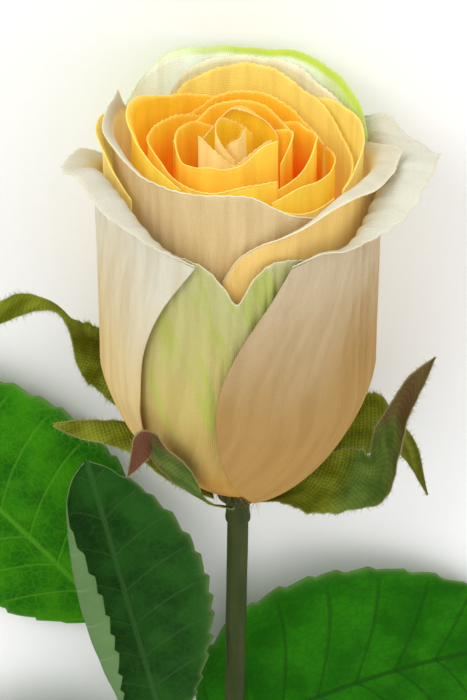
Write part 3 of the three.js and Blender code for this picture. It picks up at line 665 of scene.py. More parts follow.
SEPAL = sepal_look()
LEAF = leaf_look("leaf_bright", blade=(0.035, 0.213, 0.002), shade=(0.012, 0.116, 0.002),
                 vein=(0.075, 0.27, 0.012), under=(0.075, 0.2, 0.03), gloss=0.42)
LEAF_MIDDLE = leaf_look("leaf_middle", blade=(0.017, 0.15, 0.002), shade=(0.008, 0.092, 0.001),
                        vein=(0.008, 0.055, 0.003), under=(0.075, 0.2, 0.03), gloss=0.42)
LEAF_DARK = leaf_look("leaf_dark", blade=(0.017, 0.085, 0.009), shade=(0.008, 0.045, 0.005),
                      vein=(0.034, 0.1, 0.022), under=(0.08, 0.165, 0.052), gloss=0.36)


def stem_look():
    """Moulded green plastic, browner in patches, with fine scuffs along it."""
    look = Look("plastic_stem", Specular_IOR_Level=0.09)
    x, y, z = look.place()
    blotch = look.noise(look.vector(x * 160, y * 45, z * 160), detail=4)
    scuff = look.noise(look.vector(x * 2500, y * 90, z * 2500), detail=3)
    colour = look.blend(blotch.between(0.3, 0.7), (0.026, 0.042, 0.008), (0.05, 0.062, 0.016))
    colour = look.blend(scuff.between(0.55, 0.8) * 0.3, colour, (0.08, 0.1, 0.045))
    roughness = blotch * 0.15 + scuff * 0.15 + 0.34
    soft = look.bump(blotch, 0.25 * MM, 0.4)
    normal = look.bump(scuff, 0.05 * MM, 0.5, soft)
    return look.finish(Base_Color=colour, Roughness=roughness, Normal=normal)


def wire_look():
    look = Look("steel_wire", Metallic=1.0)
    x, y, z = look.place()
    draw = look.noise(look.vector(x * 4000, y * 200, z * 4000), detail=2)
    colour = look.blend(draw.between(0.5, 0.75), (0.42, 0.42, 0.43), (0.2, 0.13, 0.09))
    return look.finish(Base_Color=colour, Roughness=draw * 0.3 + 0.2)


def foam_look():
    look = Look("foam_bud", Specular_IOR_Level=0.2)
    x, y, z = look.place()
    cells = look.node("ShaderNodeTexVoronoi", look.vector(x, y, z))
    cells.socket.node.inputs["Scale"].default_value = 1400
    colour = look.blend(cells.between(0.1, 0.7), (0.62, 0.52, 0.32), (0.88, 0.8, 0.58))
    roughness = cells * 0.2 + 0.75
    return look.finish(Base_Color=colour, Roughness=roughness, Normal=look.bump(cells, 0.2 * MM, 0.7))


STEM = stem_look()
WIRE = wire_look()
FOAM = foam_look()


# ---- Petals ----------------------------------------------------------------------------------------
# Rows of a margin are [height, azimuth]. Rows of a rim are [azimuth, height, radius, lip, roll], and a
# row may leave out its last values where they are the same as in the row before. A tip is [azimuth,
# extra lip, width]; a crinkle is [azimuth, width, depth]; fray is threads to a millimetre.
PETALS = [
    # Its outside is the peach cloth darkened as painted shade.
    dict(name="petal_outer_right", dye="tan", reach=27.8, fray=2.5,
         left=[[-1, 30], [6, 10], [18, -5], [34, -9], [43, -7], [54, 2], [64, 14], [71, 22]],
         right=[[0, 78], [20, 112], [50, 124], [75, 128]],
         rim=[[22, 70.5, 28, 1, 30], [32, 71.5, 28, 2, 70], [45, 70.5, 28, 3, 100], [57, 72, 28, 7, 115],
         [70, 75, 28, 11.5, 104], [82, 74.4, 28, 12.6, 100], [92, 73.4, 28, 11], [101, 74.6, 28, 9, 80],
         [113, 76, 28, 7, 60], [128, 75, 28, 2, 40]], tips=[[90, 3.6, 5]], crinkles=[[64, 13, 0.8],
         [20, 16, 0.2]]),
    dict(name="petal_outer_left", dye="peach", reach=27.8, fray=2.5,
         left=[[0, -100], [20, -118], [66, -124]], right=[[0, -68], [12, -60], [20, -51], [30, -45],
         [46, -42], [58, -33], [71, -17]],
         rim=[[-124, 66, 27.2, 1, 30], [-112, 71, 27.6, 3, 60], [-100, 73.4, 28, 6, 88],
         [-90, 73.6, 28, 6.4, 98], [-80, 77.2, 28, 7.2, 106], [-70, 80.5, 28, 7.5, 110],
         [-60, 81, 28, 8, 118], [-50, 79.5, 28, 7, 122], [-42, 77, 28, 5, 120], [-34, 74.5, 28, 3.2, 105],
         [-25, 72.3, 28, 2, 70], [-17, 71, 28, 1, 30]], tips=[[-91, 2.2, 5]], crinkles=[[-62, 18, 0.35],
         [-34, 10, 0.35]]),
    dict(name="petal_front", dye="green_tint", reach=26.2, fray=2,
         left=[[0, -40], [8, -64], [16, -64], [26, -56], [71, -54]], right=[[0, 34], [20, 48], [70, 52]],
         rim=[[-54, 70, 26.4, 1, 10], [-30, 71.5, 26.6], [-14, 70, 26.8, 1, 20], [-6, 66.5, 27], [0, 62.4],
         [6, 67.5, 26.8], [15, 71, 26.6, 1, 10], [30, 70, 26.5], [52, 67, 26.4]], crinkles=[[-12, 16, 0.35],
         [14, 10, 0.35]]),
    dict(name="petal_outer_back", dye="mint", reach=26.5, fray=0.6,
         left=[[0, 150], [20, 118], [75, 108]], right=[[0, 215], [20, 240], [79, 244]],
         rim=[[108, 78, 26.6, 1, 30], [119, 81, 27, 1.8, 60], [129, 82.4, 27.2, 2.2, 70],
         [138, 84, 27.4, 2.4, 75], [153, 85.8, 27.4, 2.4, 80], [167, 85.6], [180, 85.6], [196, 86.2],
         [207, 86.4, 27.4, 2.2, 70], [217, 86, 27.2, 1.6, 60], [225, 84.6, 27, 1.2, 40],
         [236, 81.5, 26.6, 1, 20], [244, 79, 26.2]]),
    dict(name="petal_left_strip", dye="yellow", reach=25.1, fray=1,
         left=[[0, -116], [20, -130], [79, -134]], right=[[0, -76], [20, -56], [80, -52]],
         rim=[[-134, 79, 25.2, 1, 20], [-117, 81.5, 25.4, 1, 40], [-98, 83.5, 26.2, 2.5, 50],
         [-74, 84, 26.2, 2], [-52, 79, 25.8, 1, 20]]),
    dict(name="petal_second_right", dye="honey", reach=25.0, fray=1,
         left=[[0, 24], [20, -3], [66, -7]], right=[[0, 82], [20, 110], [78, 116]],
         rim=[[-7, 66, 25, 1, 5], [0, 71.6, 25.2, 1, 10], [9, 74.5, 25.4, 1, 30], [20, 75.5, 25.4, 2, 60],
         [34, 78, 25.6, 3, 80], [50, 80.3, 25.8, 5, 105], [68, 79.4, 26, 6.5, 100],
         [86, 77.4, 25.8, 5.5, 92], [102, 78, 25.2, 1.6, 40], [116, 78, 25.1, 1, 20]], tips=[[87, 3.2, 5]]),
    dict(name="petal_second_back", dye="cream", reach=24.6, fray=0.8,
         left=[[0, 140], [20, 122], [80, 118]], right=[[0, 200], [20, 212], [79, 216]],
         rim=[[118, 81, 25, 1, 20], [130, 82, 25.2, 1.2, 40], [141, 83, 25.4, 1.4, 50],
         [151, 84.4, 25.6, 1.6, 55], [161, 85.4], [177, 85.7], [191, 85.4, 25.4],
         [200, 84.8, 25.2, 1.4, 50], [207, 83.4, 25, 1.2, 40], [216, 79.5, 25, 1, 20]]),
    dict(name="petal_second_left", dye="blush", reach=23.9, fray=1.6,
         left=[[0, -90], [20, -112], [82, -118]], right=[[0, 12], [20, 34], [76, 42]],
         rim=[[-118, 82, 24, 1.6, 40], [-107, 84.6, 24, 3, 8], [-96, 85.4, 24.2, 3.2, 40],
         [-80, 86, 24.2, 3, 80], [-62, 85.5, 24, 2], [-44, 84, 24, 1.8, 60], [-18, 84.6, 24, 1, 40],
         [5, 84.8], [22, 80], [42, 76, 24, 1, 20]], tips=[[-106, 3, 4]], crinkles=[[-4, 16, 0.3],
         [-38, 14, 0.3]]),
    dict(name="petal_right_gold", dye="yellow", reach=23.2, fray=1,
         left=[[0, 76], [20, 62], [79, 58]], right=[[0, 120], [20, 148], [80, 152]],
         rim=[[58, 79, 23.6, 1, 20], [75, 82, 24, 1, 30], [88, 83.5, 24.2], [101, 83.8], [118, 83, 24],
         [130, 82.4, 23.8], [140, 81.4, 23.6], [152, 80, 23.6, 1, 10]]),
    dict(name="petal_big_back", dye="yellow", reach=22.0, fray=2.2,
         left=[[0, 108], [20, 74], [77, 66]], right=[[0, 184], [20, 210], [81, 216]],
         rim=[[66, 77, 22, 1, 20], [92, 77.2, 22.2, 1, 30], [114, 77.2, 22.4], [123, 79.5], [131, 81.2],
         [138, 82.3], [146, 82.8], [152, 84.2, 22.4, 1, 40], [161, 85.6, 22.4, 1.2], [169, 86.2],
         [179, 86.4], [192, 85.6], [200, 84.8, 22.4, 1], [211, 83.4, 22.2, 1, 30], [218, 81, 22, 1, 20]]),
    dict(name="petal_front_gold", dye="yellow", reach=21.4, fray=1,
         left=[[0, 26], [20, 10], [80, 4]], right=[[0, 44], [20, 54], [76, 58]],
         rim=[[4, 82.5, 21.4, 1, 20], [12, 81.6, 21.6, 1, 30], [19, 79.8, 21.7, 1, 40], [33, 77.4, 21.8],
         [47, 76.8], [58, 76.6, 21.6, 1, 30]]),
    dict(name="petal_inner_left", dye="gold", reach=20.2, fray=0.8,
         left=[[0, -138], [20, -164], [80, -170]], right=[[0, -66], [20, -40], [82, -34]],
         rim=[[-170, 80.5, 19.6, 1, 20], [-158, 81.8, 20, 1, 30], [-145, 83, 20.2, 1, 40],
         [-134, 83.8, 20.4, 1.2], [-115, 86, 20.6, 2, 50], [-95, 87], [-80, 86.6, 20.4],
         [-55, 84.5, 20, 1, 40], [-34, 81.5, 19.6, 1, 20]]),
    dict(name="petal_inner_back", dye="orange", reach=18.9, fray=0.8,
         left=[[0, 140], [20, 122], [76, 116]], right=[[0, 196], [20, 216], [78, 220]],
         rim=[[116, 76.5, 18.6, 1, 20], [136, 78.6, 18.6, 1, 30], [143, 80, 18.6, 1, 40], [157, 81.8],
         [170, 82.6], [182, 82.5], [194, 81.6, 18.4], [204, 80, 18.2, 1, 30], [220, 78.6, 18, 1, 20]]),
    dict(name="petal_inner_right", dye="gold", reach=18.8, fray=1,
         left=[[0, 46], [20, 26], [79, 20]], right=[[0, 86], [20, 106], [76, 110]],
         rim=[[20, 79.4, 18.8, 1, 20], [33, 81, 19, 1, 40], [47, 80.8], [63, 80], [82, 79, 18.8, 1, 30],
         [110, 77, 18.4, 1, 20]]),
    dict(name="petal_inner_front", dye="gold", reach=17.2, fray=0.8,
         left=[[0, -132], [20, -160], [77, -166]], right=[[0, -2], [20, 22], [80, 28]],
         rim=[[-166, 77.5, 16.6, 1, 20], [-150, 79.2, 17, 1, 30], [-138, 80.6, 17.2, 1, 40], [-122, 81.4],
         [-100, 82.4, 17.4], [-75, 83.8], [-60, 83.4, 17.2], [-50, 81.6, 17], [-33, 80.6], [-15, 81],
         [1, 82.2, 16.8], [18, 82.6, 16.4, 1, 30], [28, 82, 16, 1, 20]]),
    dict(name="petal_inner_right_low", dye="orange", reach=15.6, fray=0.8,
         left=[[0, 44], [20, 24], [78, 18]], right=[[0, 116], [20, 142], [77, 150]],
         rim=[[18, 78.5, 15, 1, 20], [37, 80, 15.2, 1, 40], [52, 81.2], [64, 82.6], [82, 84], [100, 82.4],
         [119, 80.6], [132, 80.6, 15, 1, 30], [150, 78.4, 14.8, 1, 20]]),
    dict(name="petal_inner_back_low", dye="orange", reach=14.2, fray=0.8,
         left=[[0, 156], [20, 136], [78, 130]], right=[[0, 224], [20, 244], [78, 250]],
         rim=[[130, 79, 13.6, 1, 20], [148, 81, 13.8, 1, 40], [160, 82.7], [174, 83.3], [191, 83],
         [204, 82], [216, 80.5, 13.6, 1, 30], [250, 79.4, 13.4, 1, 20]]),
    dict(name="petal_bud_left", dye="gold", reach=12.8, fray=1,
         left=[[0, -112], [20, -138], [79, -158]], right=[[0, 14], [20, 44], [84, 52]],
         rim=[[-158, 78.8, 11.8, 1, 20], [-143, 80.6, 12.2, 1, 30], [-131, 81.6, 12.4, 1, 40], [-115, 82.2],
         [-95, 82.2, 12.2], [-80, 81.2, 12], [-64, 80.6, 11.8, 1, 30], [-49, 81.2, 11.6, 1, 20],
         [-29, 82.4, 11.4], [-12, 82.8, 11.2], [3, 83.6, 10.8], [18, 85.4, 10.2], [34, 86.6, 9.8],
         [52, 86, 9.6]]),
    dict(name="petal_bud_right", dye="orange", reach=11.2, fray=1,
         left=[[0, 64], [20, 50], [80, 56]], right=[[0, 116], [20, 136], [79, 140]],
         rim=[[56, 80.5, 9.8, 1, 20], [72, 83, 10.2, 1, 30], [90, 84, 10.4, 1, 40], [115, 82.2, 10.2],
         [140, 80, 9.8, 1, 20]]),
    dict(name="petal_bud_back", dye="bud", reach=9.8, fray=4,
         left=[[0, 146], [20, 130], [80, 118]], right=[[0, 214], [20, 236], [80, 244]],
         rim=[[118, 80.6, 8.8, 1, 10], [134, 82, 8.8, 1.6, -30], [150, 83, 8.8, 2.6, -60],
         [164, 84, 8.8, 4.2, -80], [178, 84.4, 8.6, 4.8, -88], [192, 83.6, 8.6, 3.8, -70],
         [206, 82, 8.6, 2, -40], [220, 80.8, 8.6, 1, -10], [244, 79.6, 8.4, 1, 10]]),
    dict(name="petal_bud_front", dye="bud", reach=8.6, fray=1,
         left=[[0, -84], [20, -104], [80, -116]], right=[[0, 50], [20, 80], [82, 88]],
         rim=[[-116, 81, 7.6, 1, 10], [-90, 83.4], [-62, 84.6, 7.6, 1, 20], [-40, 83.8, 7.4, 1, 10],
         [-22, 82.4, 7.2], [-6, 81.2, 7], [12, 82.4, 6.8], [34, 84, 6.6], [60, 84.4], [88, 82.4, 6.4]]),
    dict(name="petal_heart_left", dye="bud", reach=7.2, fray=1,
         left=[[0, -180], [20, -204], [80, -212]], right=[[0, -50], [20, -20], [81, -6]],
         rim=[[-212, 81, 5.4, 1, 10], [-165, 84.4, 4.6], [-115, 86, 4.2], [-60, 84.6, 4.6], [-6, 81, 5.2]]),
    dict(name="petal_heart_right", dye="bud", reach=5.8, fray=1,
         left=[[0, -14], [20, -50], [80, -90]], right=[[0, 112], [20, 150], [80, 200]],
         rim=[[-90, 81, 2.4, 1, 5], [-20, 83.6, 2.2], [60, 85.4, 1.6], [130, 84.6, 1.2], [200, 81, 1]]),
]


def hub_radius(height):
    """Radius of the hub that the petals' feet stand on."""
    return mix(CUP_RADIUS, HUB_TOP_RADIUS, np.clip(height / HUB_TOP, 0, 1))


def belly(reach, foot, height):
    """The belly's radius at a height, for a petal of this reach and foot."""
    t = np.clip((height - foot) / BELLY_RISE, 0, 1)
    return reach * np.sqrt(1 - (1 - t) ** BELLY_POWER)


def full_rows(rows):
    """The rows with what a row leaves out taken from the row before."""
    whole = [rows[0]]
    for row in rows[1:]:
        whole.append([*row, *whole[-1][len(row):]])
    return np.array(whole, float)


def petal_grid(design, order):
    """Points of a petal in the flower frame, with the rise and lip shares at each.

    The lip's heading turns from the crest's slope by roll * (1 - (1 - t)^LIP_EASE), and the lip is the
    sum of short steps along that heading. Ripples move the crest, the lip's length and the cloth's face.
    """
    reach = design["reach"]
    foot = FIRST_PETAL + order * PETAL_PITCH
    share = (hub_radius(foot) + CLEARANCE) / reach
    start = foot + BELLY_RISE * (1 - (1 - share**2) ** (1 / BELLY_POWER))
    rim = full_rows(design["rim"])
    first, last = rim[0, 0], rim[-1, 0]
    columns = int(math.radians(last - first) * reach / COLUMN_PITCH) + 24
    s = np.linspace(0, 1, columns)[:, None]
    turned = mix(first, last, s)
    top, rim_radius, lip, roll = through(rim)(turned)
    arc = np.radians(turned) * reach
    ends = smooth(s * 12) * smooth((1 - s) * 12)
    top = top + CREST_WAVE * ripple(order + 40, arc / 4, octaves=2) * ends
    for azimuth, extra, width in design.get("tips", ()):
        lip = lip + extra * np.exp(-np.abs(turned - azimuth) / width)
    lip = lip * mix(0.55, 1, smooth((lip - 1) / 1.2))
    rough = 0.16 + 0.1 * smooth((lip - 2) / 4)
    scallop = LIP_WAVE * smooth((lip - 2) / 4) * ripple(order + 9, arc / 2.5)
    lip = lip + rough * ripple(order, arc / 0.5, octaves=3) + scallop
    rise = np.linspace(0, 1, BODY_ROWS)[None, :] ** 1.3
    height = mix(start, top, rise)

    def meridian(at):
        lean = smooth((at - SWING_TOP) / (top - SWING_TOP))
        return belly(reach, foot, at) + (rim_radius - reach) * lean

    left, right = through(design["left"])(height)[0], through(design["right"])(height)[0]
    azimuth = mix(left, right, s)
    radius = meridian(height)
    free = smooth(rise * 3) * ends
    radius = radius + FACE_WAVE * free * ripple(order + 70, azimuth * reach / 260, height / 22, octaves=3)
    for middle, width, depth in design.get("crinkles", ()):
        near = np.exp(-(((azimuth - middle) / width) ** 2)) * smooth((height - 18) / 30) * ends
        wander = azimuth / CRINKLE_PITCH + 0.7 * ripple(order + 90, height / 24, azimuth / 14, octaves=2)
        radius = radius + depth * near * (np.abs(np.sin(np.pi * wander)) - 0.6)
    body = around(azimuth, radius, height)

    t = np.linspace(0, 1, LIP_ROWS + 1)[None, :]
    lean = np.arctan((rim_radius - meridian(top - 2)) / 2)
    middle_t = (t[:, 1:] + t[:, :-1]) / 2
    heading = lean + np.radians(roll) * (1 - (1 - middle_t) ** LIP_EASE)
    out = radius[:, -1:] + np.cumsum(np.sin(heading), 1) * lip / LIP_ROWS
    up = top + np.cumsum(np.cos(heading), 1) * lip / LIP_ROWS
    flare = 0.1 * lip * t[:, 1:] ** 2 * ripple(order + 20, arc / 7, octaves=2)
    up = up + flare * np.abs(np.sin(heading))
    out = out + flare * np.cos(heading)
    points = np.concatenate([body, around(np.broadcast_to(azimuth[:, -1:], out.shape), out, up)], 1)
    rise = np.concatenate([np.broadcast_to(rise, height.shape), np.ones_like(out)], 1)
    curl = np.concatenate([np.zeros_like(height), t[:, 1:] * smooth((lip - 0.9) / 1.0)], 1)
    return points, rise, curl


def make_petal(design, order):
    """A petal with loose threads on its rim and, on the outermost petals, a torn foot."""
    points, rise, curl = petal_grid(design, order)
    points = lay(points)
    _, along = cloth_lengths(points)
    edge = np.exp(-(along[:, -1:] - along) / 0.3)
    feet = []
    base, out, side, length = edge_fringe(points, row=-1, inward=-3)
    fringes = [(base, out, side, int(length * design["fray"]), *PETAL_FRAY, order)]
    if order < TORN_FEET:
        base, out, side, _ = edge_fringe(points, row=0, inward=4)
        feet.append((base, out * 0.4 - AXIS, side, FOOT_THREADS, *FOOT_FRAY, order + 30))
    dye = design["dye"]
    cloth_piece(design["name"], points, PETAL_CLOTH[dye], (rise, curl), edge, fringes,
                feet=feet)


for order, design in enumerate(PETALS):
    make_petal(design, order)


# ---- Sepals ----------------------------------------------------------------------------------------
# Each sepal lies between two margins in the flower's frame. A row is [share of its length, x, y, z on
# one margin, x, y, z on the other]. cup lifts its middle, and red is how red its margins and tip are.
# turned is 1 where its inner face is the outer one here, and turns_at the share where it turns over.
SEPALS = [
    dict(name="sepal_back_left", cup=1.5, seed=1, red=0.0, turned=1.0,
         rows=[[0, -5.2, 3.4, -2.6, -3.2, 5.2, -2.6], [0.17, -15, 5, 6, -12, 13, 9],
         [0.34, -27.6, 5, 18.6, -25, 13, 27], [0.5, -32, 3, 25.8, -30.4, 9, 33.6],
         [0.64, -34.6, 1, 38.5, -34.9, 6, 37.6], [0.76, -38.4, -1, 43.6, -39.7, 2, 45],
         [0.88, -45.4, -4, 43.6, -46.4, -2, 47.4], [1, -55.5, -6, 38.9, -55.9, -5, 40]]),
    dict(name="sepal_left", cup=0.8, seed=2, red=0.1, turned=1.0,
         rows=[[0, -5, -2.4, -2.6, -5.4, 0.6, -2.6], [0.3, -13.4, -4, 2.6, -13.6, 2, 4.6],
         [0.55, -21.4, -5, 10.6, -22.4, 1.5, 14], [0.75, -27.2, -4, 12.8, -28, 0, 15.8],
         [0.88, -32.7, -3, 13.6, -33.1, -1, 16.6], [1, -37.7, -3, 16.5, -37.8, -2, 16.4]]),
    dict(name="sepal_front_left", cup=0.6, seed=3, red=1.0, turned=0.0,
         rows=[[0, -0.6, -5.4, -2.6, -3.4, -4.6, -2.6], [0.14, -2, -11, 1.4, -4.6, -8.6, 0.6],
         [0.3, -6.1, -15, 6.3, -6.7, -17, 9.9], [0.44, -10.3, -17, 10.6, -7.6, -20.5, 16.8],
         [0.57, -14, -18.5, 15.1, -9.9, -23, 22.9], [0.69, -17.2, -18.5, 19.6, -13.5, -22.5, 26.8],
         [0.78, -17.3, -22, 24.7, -17.9, -25, 31.8], [0.86, -17.4, -25.5, 25.5, -20.4, -27, 31.3],
         [0.93, -19.3, -27.5, 24.6, -21.0, -28, 27.9], [1, -21.7, -28.6, 22.7, -21.9, -28.4, 22.5]]),
    dict(name="sepal_front_right", cup=1.6, seed=4, red=0.7, turns_at=0.3,
         rows=[[0, 4.4, -3.4, -2.6, 5.4, 0.4, -2.6], [0.14, 9, -8, 0.8, 12, 2, 2.4],
         [0.28, 15, -9, -1.2, 20, 1, 7.4], [0.4, 22, -8, -1.6, 25, -1, 9.4],
         [0.52, 30.3, -5.4, -0.5, 27.2, -1, 7.8], [0.64, 32.9, -3.4, 7.8, 27.9, -1, 14.1],
         [0.77, 34.9, -1.4, 17.5, 30.1, 0, 18], [0.89, 37.7, 0, 24, 34.6, 0.4, 26.2],
         [1, 40.1, 1, 31, 39.8, 1, 31]]),
    dict(name="sepal_back_right", cup=-0.8, seed=5, red=0.15, turned=0.0,
         rows=[[0, 4.6, 3, -2.6, 3, 4.8, -2.6], [0.2, 12, 5, -0.2, 13, 10, 5],
         [0.42, 21.6, 5.6, 1.6, 23, 10, 11.6], [0.62, 28, 6.6, 3, 28.6, 10.4, 15.4],
         [0.76, 32.6, 7.6, 2.6, 33.4, 9.6, 9.4], [0.88, 36, 7, -1.2, 37.4, 8, 3.4],
         [1, 39.6, 4, -6.6, 39.8, 5, -6.8]]),
]


def sepal_grid(design):
    """A ruled sheet between the two margins, cupped by cup * sin(pi s), and pushed clear of the petals."""
    columns, rows = SEPAL_GRID
    v = np.linspace(0, 1, rows)[None, :]
    s = np.linspace(0, 1, columns)[:, None]
    margins = through(design["rows"])(v)
    one, other = (np.moveaxis(part, 0, -1) for part in (margins[:3], margins[3:]))
    seed = design["seed"]
    notch, other_notch = (NOTCH * ripple(part, v * 26) * smooth(v * 6) for part in (seed, seed + 30))
    share = mix(-notch, 1 + other_notch, s)
    points = mix(one, other, share[..., None])
    normals = grid_normals(points)
    belly_lift = design["cup"] * np.sin(np.pi * s) * np.sin(np.pi * v ** 0.7)
    wave = 0.35 * ripple(seed + 60, s * 1.5, v * 6, octaves=2) * smooth(v * 4)
    points = points + normals * (belly_lift + wave)[..., None]
    x, y, z = np.moveaxis(points, -1, 0)
    radius = np.hypot(x, y)
    least = belly(HUG_REACH, FIRST_PETAL, z) + SEPAL_GAP
    grow = np.maximum(1, least / np.maximum(radius, 0.1))
    return np.stack([x * grow, y * grow, z], -1), np.broadcast_to(v, radius.shape)


def make_sepal(design):
    """A sepal, redder along its margins and beyond two thirds of its length, with frayed margins."""
    points, along = sepal_grid(design)
    points = lay(points)
    across, _ = cloth_lengths(points)
    side = np.minimum(across - across[:1], across[-1:] - across)
    edge = np.exp(-side / 0.45)
    red = design["red"] * np.clip(np.exp(-side / 1.6) + smooth((along - 0.68) * 6), 0, 1)
    fringes = []
    for column, inward in ((0, 2), (-1, -3)):
        base, out, sideways, length = edge_fringe(points, column=column, inward=inward)
        count, seed = int(length * SEPAL_THREADS), design["seed"] + column
        fringes.append((base[12:], out[12:], sideways[12:], count, *SEPAL_FRAY, seed))
    if "turns_at" in design:
        turned = smooth((along - design["turns_at"]) * 8)
    else:
        turned = design["turned"]
    cloth_piece(design["name"], points, SEPAL, (along, red), edge, fringes, turned)


for design in SEPALS:
    make_sepal(design)


# ---- Leaflets --------------------------------------------------------------------------------------
# Set in the lying frame with its surface at 0 and the flower's origin over the middle. base is the
# foot of a leaflet, heading the direction of its midrib in plan, bend how far that turns, arch and
# tip_height its rise, fold the lift of each half per millimetre, curl the radius of a rolled left
# margin, and full how far its widest place moves towards the tip.
LEAFLETS = [
    dict(name="leaflet_left_end", print="bright", base=[-28, -46.5, 4.8], heading=127, bend=12,
         length=86, half=(22, 29), tip_height=0.3, arch=1.6, fold=(-0.04, 0.12)),
    dict(name="leaflet_left_inner", print="dark", base=[-15, -75, 12.8], heading=100, bend=5,
         length=77, half=(18.5, 18), tip_height=15, arch=4, fold=(0.2, 0.06), curl=3.4, full=1.3),
    dict(name="leaflet_left_outer", print="bright", base=[-17, -78.5, 9.4], heading=200, bend=-12,
         length=62, half=(19, 19), tip_height=0.3, arch=3, fold=(0.05, 0.05)),
    dict(name="leaflet_right_end", print="middle", base=[-5, -79.5, 8.4], heading=41, bend=-46,
         length=77, half=(30, 25), tip_height=0.3, arch=3.4, fold=(0.03, -0.05)),
    dict(name="leaflet_right_low", print="bright", base=[4.4, -106, 7.4], heading=-24, bend=14,
         length=66, half=(20, 20), tip_height=0.3, arch=3, fold=(0.05, 0.05)),
    dict(name="leaflet_cross_low", print="dark", base=[-3.2, -110, 7.4], heading=212, bend=-16,
         length=60, half=(18, 18), tip_height=0.3, arch=2, fold=(0.05, 0.05)),
]
LYING_ORIGIN = np.array([0, 0, STEM_LENGTH * math.sin(LIE) + STEM_RADIUS * math.cos(LIE)])
SHIFT = ORIGIN - LYING_ORIGIN
PRINTS = {
    "bright": (LEAF, "leaf_fabric"),
    "middle": (LEAF_MIDDLE, "leaf_fabric"),
    "dark": (LEAF_DARK, "leaf_fabric_dark"),
}


def ovate(t, full):
    """Share of the half-width at share t of the length; it is greatest nearer the tip as full grows."""
    return np.maximum(0.05, np.sin(np.pi * np.clip(t, 0, 1) ** full) ** 0.72)


def leaf_grid(design, seed):
    """An ovate blade: half-width * ovate(t) on each side of a midrib that turns evenly by its bend.

    The margin has teeth, each rising slowly towards the tip and dropping quickly. The blade dips along
    the side veins by a cosine of the distance between them.
    """
    columns, rows = LEAF_GRID
    v = np.linspace(0, 1, rows)[None, :]
    side = np.linspace(-1, 1, columns)[:, None]
    angle = np.radians(design["heading"] + design["bend"] * v[0])
    stride = design["length"] / (rows - 1)
    spine = np.stack([np.cumsum(np.cos(angle)), np.cumsum(np.sin(angle))], -1) * stride
    spine = spine - spine[0] + design["base"][:2]
    left = side < 0
    half = np.where(left, *design["half"]) * ovate(v, design.get("full", OVATE))
    teeth = (v * design["length"] / TOOTH_PITCH + 0.15 * ripple(seed, v * 9)) % 1
    tooth = np.where(teeth < TOOTH_BACK, teeth / TOOTH_BACK, (1 - teeth) / (1 - TOOTH_BACK))
    tooth = TOOTH_DEPTH * tooth * smooth(v * 9) * smooth((1 - v) * 14)
    reached = half * np.abs(side) + (tooth - 0.4) * np.abs(side) ** 8
    lift = np.where(left, *design["fold"]) * reached
    flat = half * CURL_START
    if "curl" in design:
        turned = np.where(left, np.maximum(0, reached - flat) / design["curl"], 0)
        lift = lift + design["curl"] * (1 - np.cos(turned))
        reached = np.where(turned > 0, flat + design["curl"] * np.sin(turned), reached)
    spread = half * np.abs(side)
    vein = (v * design["length"] - VEIN_SLANT * spread + VEIN_CURVE * spread**2) / VEIN_PITCH
    dip = 0.22 * np.cos(2 * np.pi * vein) * smooth(spread / 3) - 0.3 * np.exp(-((spread / 0.9) ** 2))
    wave = 0.8 * ripple(seed + 5, side * 1.6, v * 3.5, octaves=2) * np.abs(side) * smooth(v * 4)
    ridge = mix(design["base"][2], design["tip_height"], v) + design["arch"] * np.sin(np.pi * v)
    height = np.maximum(FABRIC / 2 + 0.02, ridge + lift + wave) - dip * smooth(v * 6)
    height = np.maximum(CLOTH / 2 + 0.02, height)
    out = np.where(left, 1, -1) * reached
    x = spine[None, :, 0] - np.sin(angle) * out
    y = spine[None, :, 1] + np.cos(angle) * out
    return np.stack([x, y, height], -1), spread * np.where(left, -1, 1), v * design["length"], np.abs(side)


def make_leaflet(design, seed):
    """A leaflet whose UV is the flat blade's, so that the printed veins follow the pressed ones."""
    points, across, along, side = leaf_grid(design, seed)
    points = points + SHIFT
    along, side = (np.broadcast_to(part, across.shape) for part in (along, side))
    edge = np.exp(-(1 - side) * np.abs(across).max() / 0.7)
    material, slot = PRINTS[design["print"]]
    shares = (along / design["length"], side)
    cloth_piece(design["name"], points, material, shares, edge, flat=(across, along))


for seed, design in enumerate(LEAFLETS):
    make_leaflet(design, seed)


# ---- Stem, wire, cup, core and leaf stalks ---------------------------------------------------------
def full_turn(sides):
    """The angles of a round section's corners, as one row."""
    return np.linspace(0, 2 * np.pi, sides, endpoint=False)[None, :]


def round_piece(name, path, radii, sides, material):
    """A round section carried along a path, closed by a pole at each end.

    radii has a row for each point of the path, of one radius or of one for each side.
    """
    tangent = unit(np.gradient(path, axis=0))
    side = unit(np.cross(tangent, [0.03, 0.05, 1.0]))
    up = np.cross(side, tangent)
    angle = full_turn(sides)[..., None]
    ring = np.cos(angle) * side[:, None] + np.sin(angle) * up[:, None]
    vertices = path[:, None] + ring * radii[..., None]
    rows = len(path)
    ids = np.arange(rows * sides).reshape(rows, sides)
    ahead = np.roll(ids, -1, axis=1)
    quads = np.stack([ids[:-1], ahead[:-1], ahead[1:], ids[1:]], -1).reshape(-1, 4)
    start, end = rows * sides, rows * sides + 1
    caps = np.concatenate([np.stack([ahead[0], ids[0], np.full(sides, start)], -1),
                           np.stack([ids[-1], ahead[-1], np.full(sides, end)], -1)])
    vertices = np.concatenate([vertices.reshape(-1, 3), path[:1], path[-1:]])
    mesh_piece(name, vertices, [quads, caps], material)


STEM_TOP = -COLLAR_LENGTH - CLEARANCE


def stem_path(heights):
    """The stem's centre at each height: a slight bow to one side."""
    down = np.clip((STEM_TOP - heights) / (STEM_LENGTH + STEM_TOP), 0, 1)
    return lay(np.stack([-STEM_BOW * np.sin(np.pi * down), 0 * heights, heights], -1))


